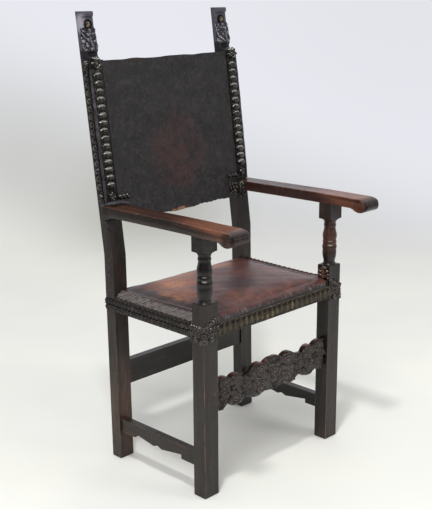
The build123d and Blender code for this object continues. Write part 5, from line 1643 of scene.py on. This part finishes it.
# ---- floor, light and camera -------------------------------------------------------------------
# The camera stands this far, in metres, from the point on the floor midway between the fronts
# of the front legs. It is turned by these angles, in radians.
CAMERA_FROM_LEG = Vector((-1.9636, -1.7112, 1.3217))
YAW, PITCH, ROLL = 0.79116, -0.26349, -0.00622
FOCAL_PIXELS = 1004.19
LONG_SIDE = 509
SENSOR = 36

plane = bpy.data.meshes.new("floor")
plane.from_pydata([(-9, -9, 0), (9, -9, 0), (9, 9, 0), (-9, 9, 0)], [], [(0, 1, 2, 3)])
floor = bpy.data.objects.new("floor", plane)
bpy.context.scene.collection.objects.link(floor)


def studio_floor():
    """Pale paper: faintly uneven in tone, and fading into the backdrop far from the chair."""
    made, tree, shader, place = started("studio_paper")
    cloudy = node(tree, "TexNoise", {"Vector": place, "Scale": 1.6, "Detail": 3})
    colour = coats(tree, "f1f1ee", (cloudy, 0.35, 0.7, 1.0, "f7f7f0"))
    tree.links.new(colour, shader["Base Color"])
    shader["Roughness"].default_value = 0.9
    shader["Specular IOR Level"].default_value = 0.1
    away = node(tree, "VectorMath", {0: place}, out="Value", operation="LENGTH")
    fading = {"Value": away, "From Min": 3.4, "From Max": 1.6}
    near = node(tree, "MapRange", fading, interpolation_type="SMOOTHSTEP")
    tree.links.new(near, shader["Alpha"])
    return made


floor.data.materials.append(studio_floor())

world = bpy.data.worlds.new("studio")
bpy.context.scene.world = world
world.use_nodes = True
sky = world.node_tree
lit = sky.nodes["Background"]
lit.inputs["Color"].default_value = (1, 1, 1, 1)
lit.inputs["Strength"].default_value = 0.64
direction = node(sky, "TexCoord", out="Generated")
tone = node(sky, "TexNoise", {"Vector": direction, "Scale": 1.3, "Detail": 1})
# Painted shade: the paper is darker where it bends from the floor up to the wall.
bending = {0: direction, 1: (0.24, -0.24, 1.0)}
bend = node(sky, "VectorMath", bending, out="Value", operation="DOT_PRODUCT")
# Two soft painted shadows darken it, behind the right arm and left of it.
fold, left_painted_shadow = [
    node(sky, "VectorMath", {0: direction, 1: towards}, out="Value", operation="DISTANCE")
    for towards in ((0.638, 0.731, -0.247), (0.556, 0.798, -0.2))
]
shade = coats(
    sky, "eaebf2",
    (tone, 0.4, 0.75, 0.7, "dedfe5"),
    (bend, -0.08, -0.22, 0.75, "c9cac8"),
    (bend, -0.23, -0.31, 1.0, "f4f4ef"),
    (fold, 0.13, 0.02, 1.0, "b0b1a8"),
    (left_painted_shadow, 0.14, 0.0, 0.6, "c6c7c2"),
)
# The paper hangs behind the chair; what polish shows from the other side is a dim room.
away = {0: direction, 1: (0.7, 0.7, 0.15)}
behind = node(sky, "VectorMath", away, out="Value", operation="DOT_PRODUCT")
dimmed = {"Value": behind, "From Min": -0.2, "From Max": 0.6, "To Min": 0.12}
room = node(sky, "MapRange", dimmed, interpolation_type="SMOOTHSTEP")
camera_ray, glossy_ray, clear_ray = [
    node(sky, "LightPath", out=f"Is {kind} Ray") for kind in ("Camera", "Glossy", "Transmission")
]
strength = node(sky, "Math", {0: room, 1: camera_ray}, operation="MAXIMUM")
seen = node(sky, "Background", {"Color": shade, "Strength": strength})
direct = node(sky, "Math", {0: camera_ray, 1: glossy_ray}, operation="MAXIMUM")
direct = node(sky, "Math", {0: direct, 1: clear_ray}, operation="MAXIMUM")
blend = node(sky, "MixShader", {0: direct, 1: lit.outputs[0], 2: seen})
sky.links.new(blend, sky.nodes["World Output"].inputs["Surface"])

# A lamp high over the chair's right arm, a large soft one on the same side, and a weaker one
# ahead on the left.
LAMPS = (
    ("high", (-1.38, -0.89, 4.54), 0.36, 64),
    ("side", (-2.6, -1.5, 2.9), 1.5, 36),
    ("fill", (1.6, -3.2, 1.9), 1.4, 22),
)
for name, place, size, power in LAMPS:
    lamp_data = bpy.data.lights.new(name, "AREA")
    lamp_data.shape = "DISK"
    lamp_data.size = size
    lamp_data.energy = power
    lamp = bpy.data.objects.new(name, lamp_data)
    aim = Vector((0, 0, 0.55)) - Vector(place)
    turned = aim.to_track_quat("-Z", "Y").to_matrix().to_4x4()
    lamp.matrix_world = Matrix.Translation(Vector(place)) @ turned
    bpy.context.scene.collection.objects.link(lamp)

camera_data = bpy.data.cameras.new("camera")
camera_data.lens = FOCAL_PIXELS / LONG_SIDE * SENSOR
camera_data.sensor_width = SENSOR
camera_data.clip_end = 50
camera = bpy.data.objects.new("camera", camera_data)
forward = Vector((math.sin(YAW) * math.cos(PITCH), math.cos(YAW) * math.cos(PITCH), math.sin(PITCH)))
level = Vector((math.cos(YAW), -math.sin(YAW), 0))
upward = level.cross(forward)
right = math.cos(ROLL) * level + math.sin(ROLL) * upward
up = -math.sin(ROLL) * level + math.cos(ROLL) * upward
turn = Matrix((right, up, -forward)).transposed().to_4x4()
camera.matrix_world = Matrix.Translation(CAMERA_FROM_LEG + Vector((0, LEG_FRONT * METRE, 0))) @ turn
bpy.context.scene.collection.objects.link(camera)
bpy.context.scene.camera = camera
bpy.context.scene.view_settings.view_transform = "Standard"
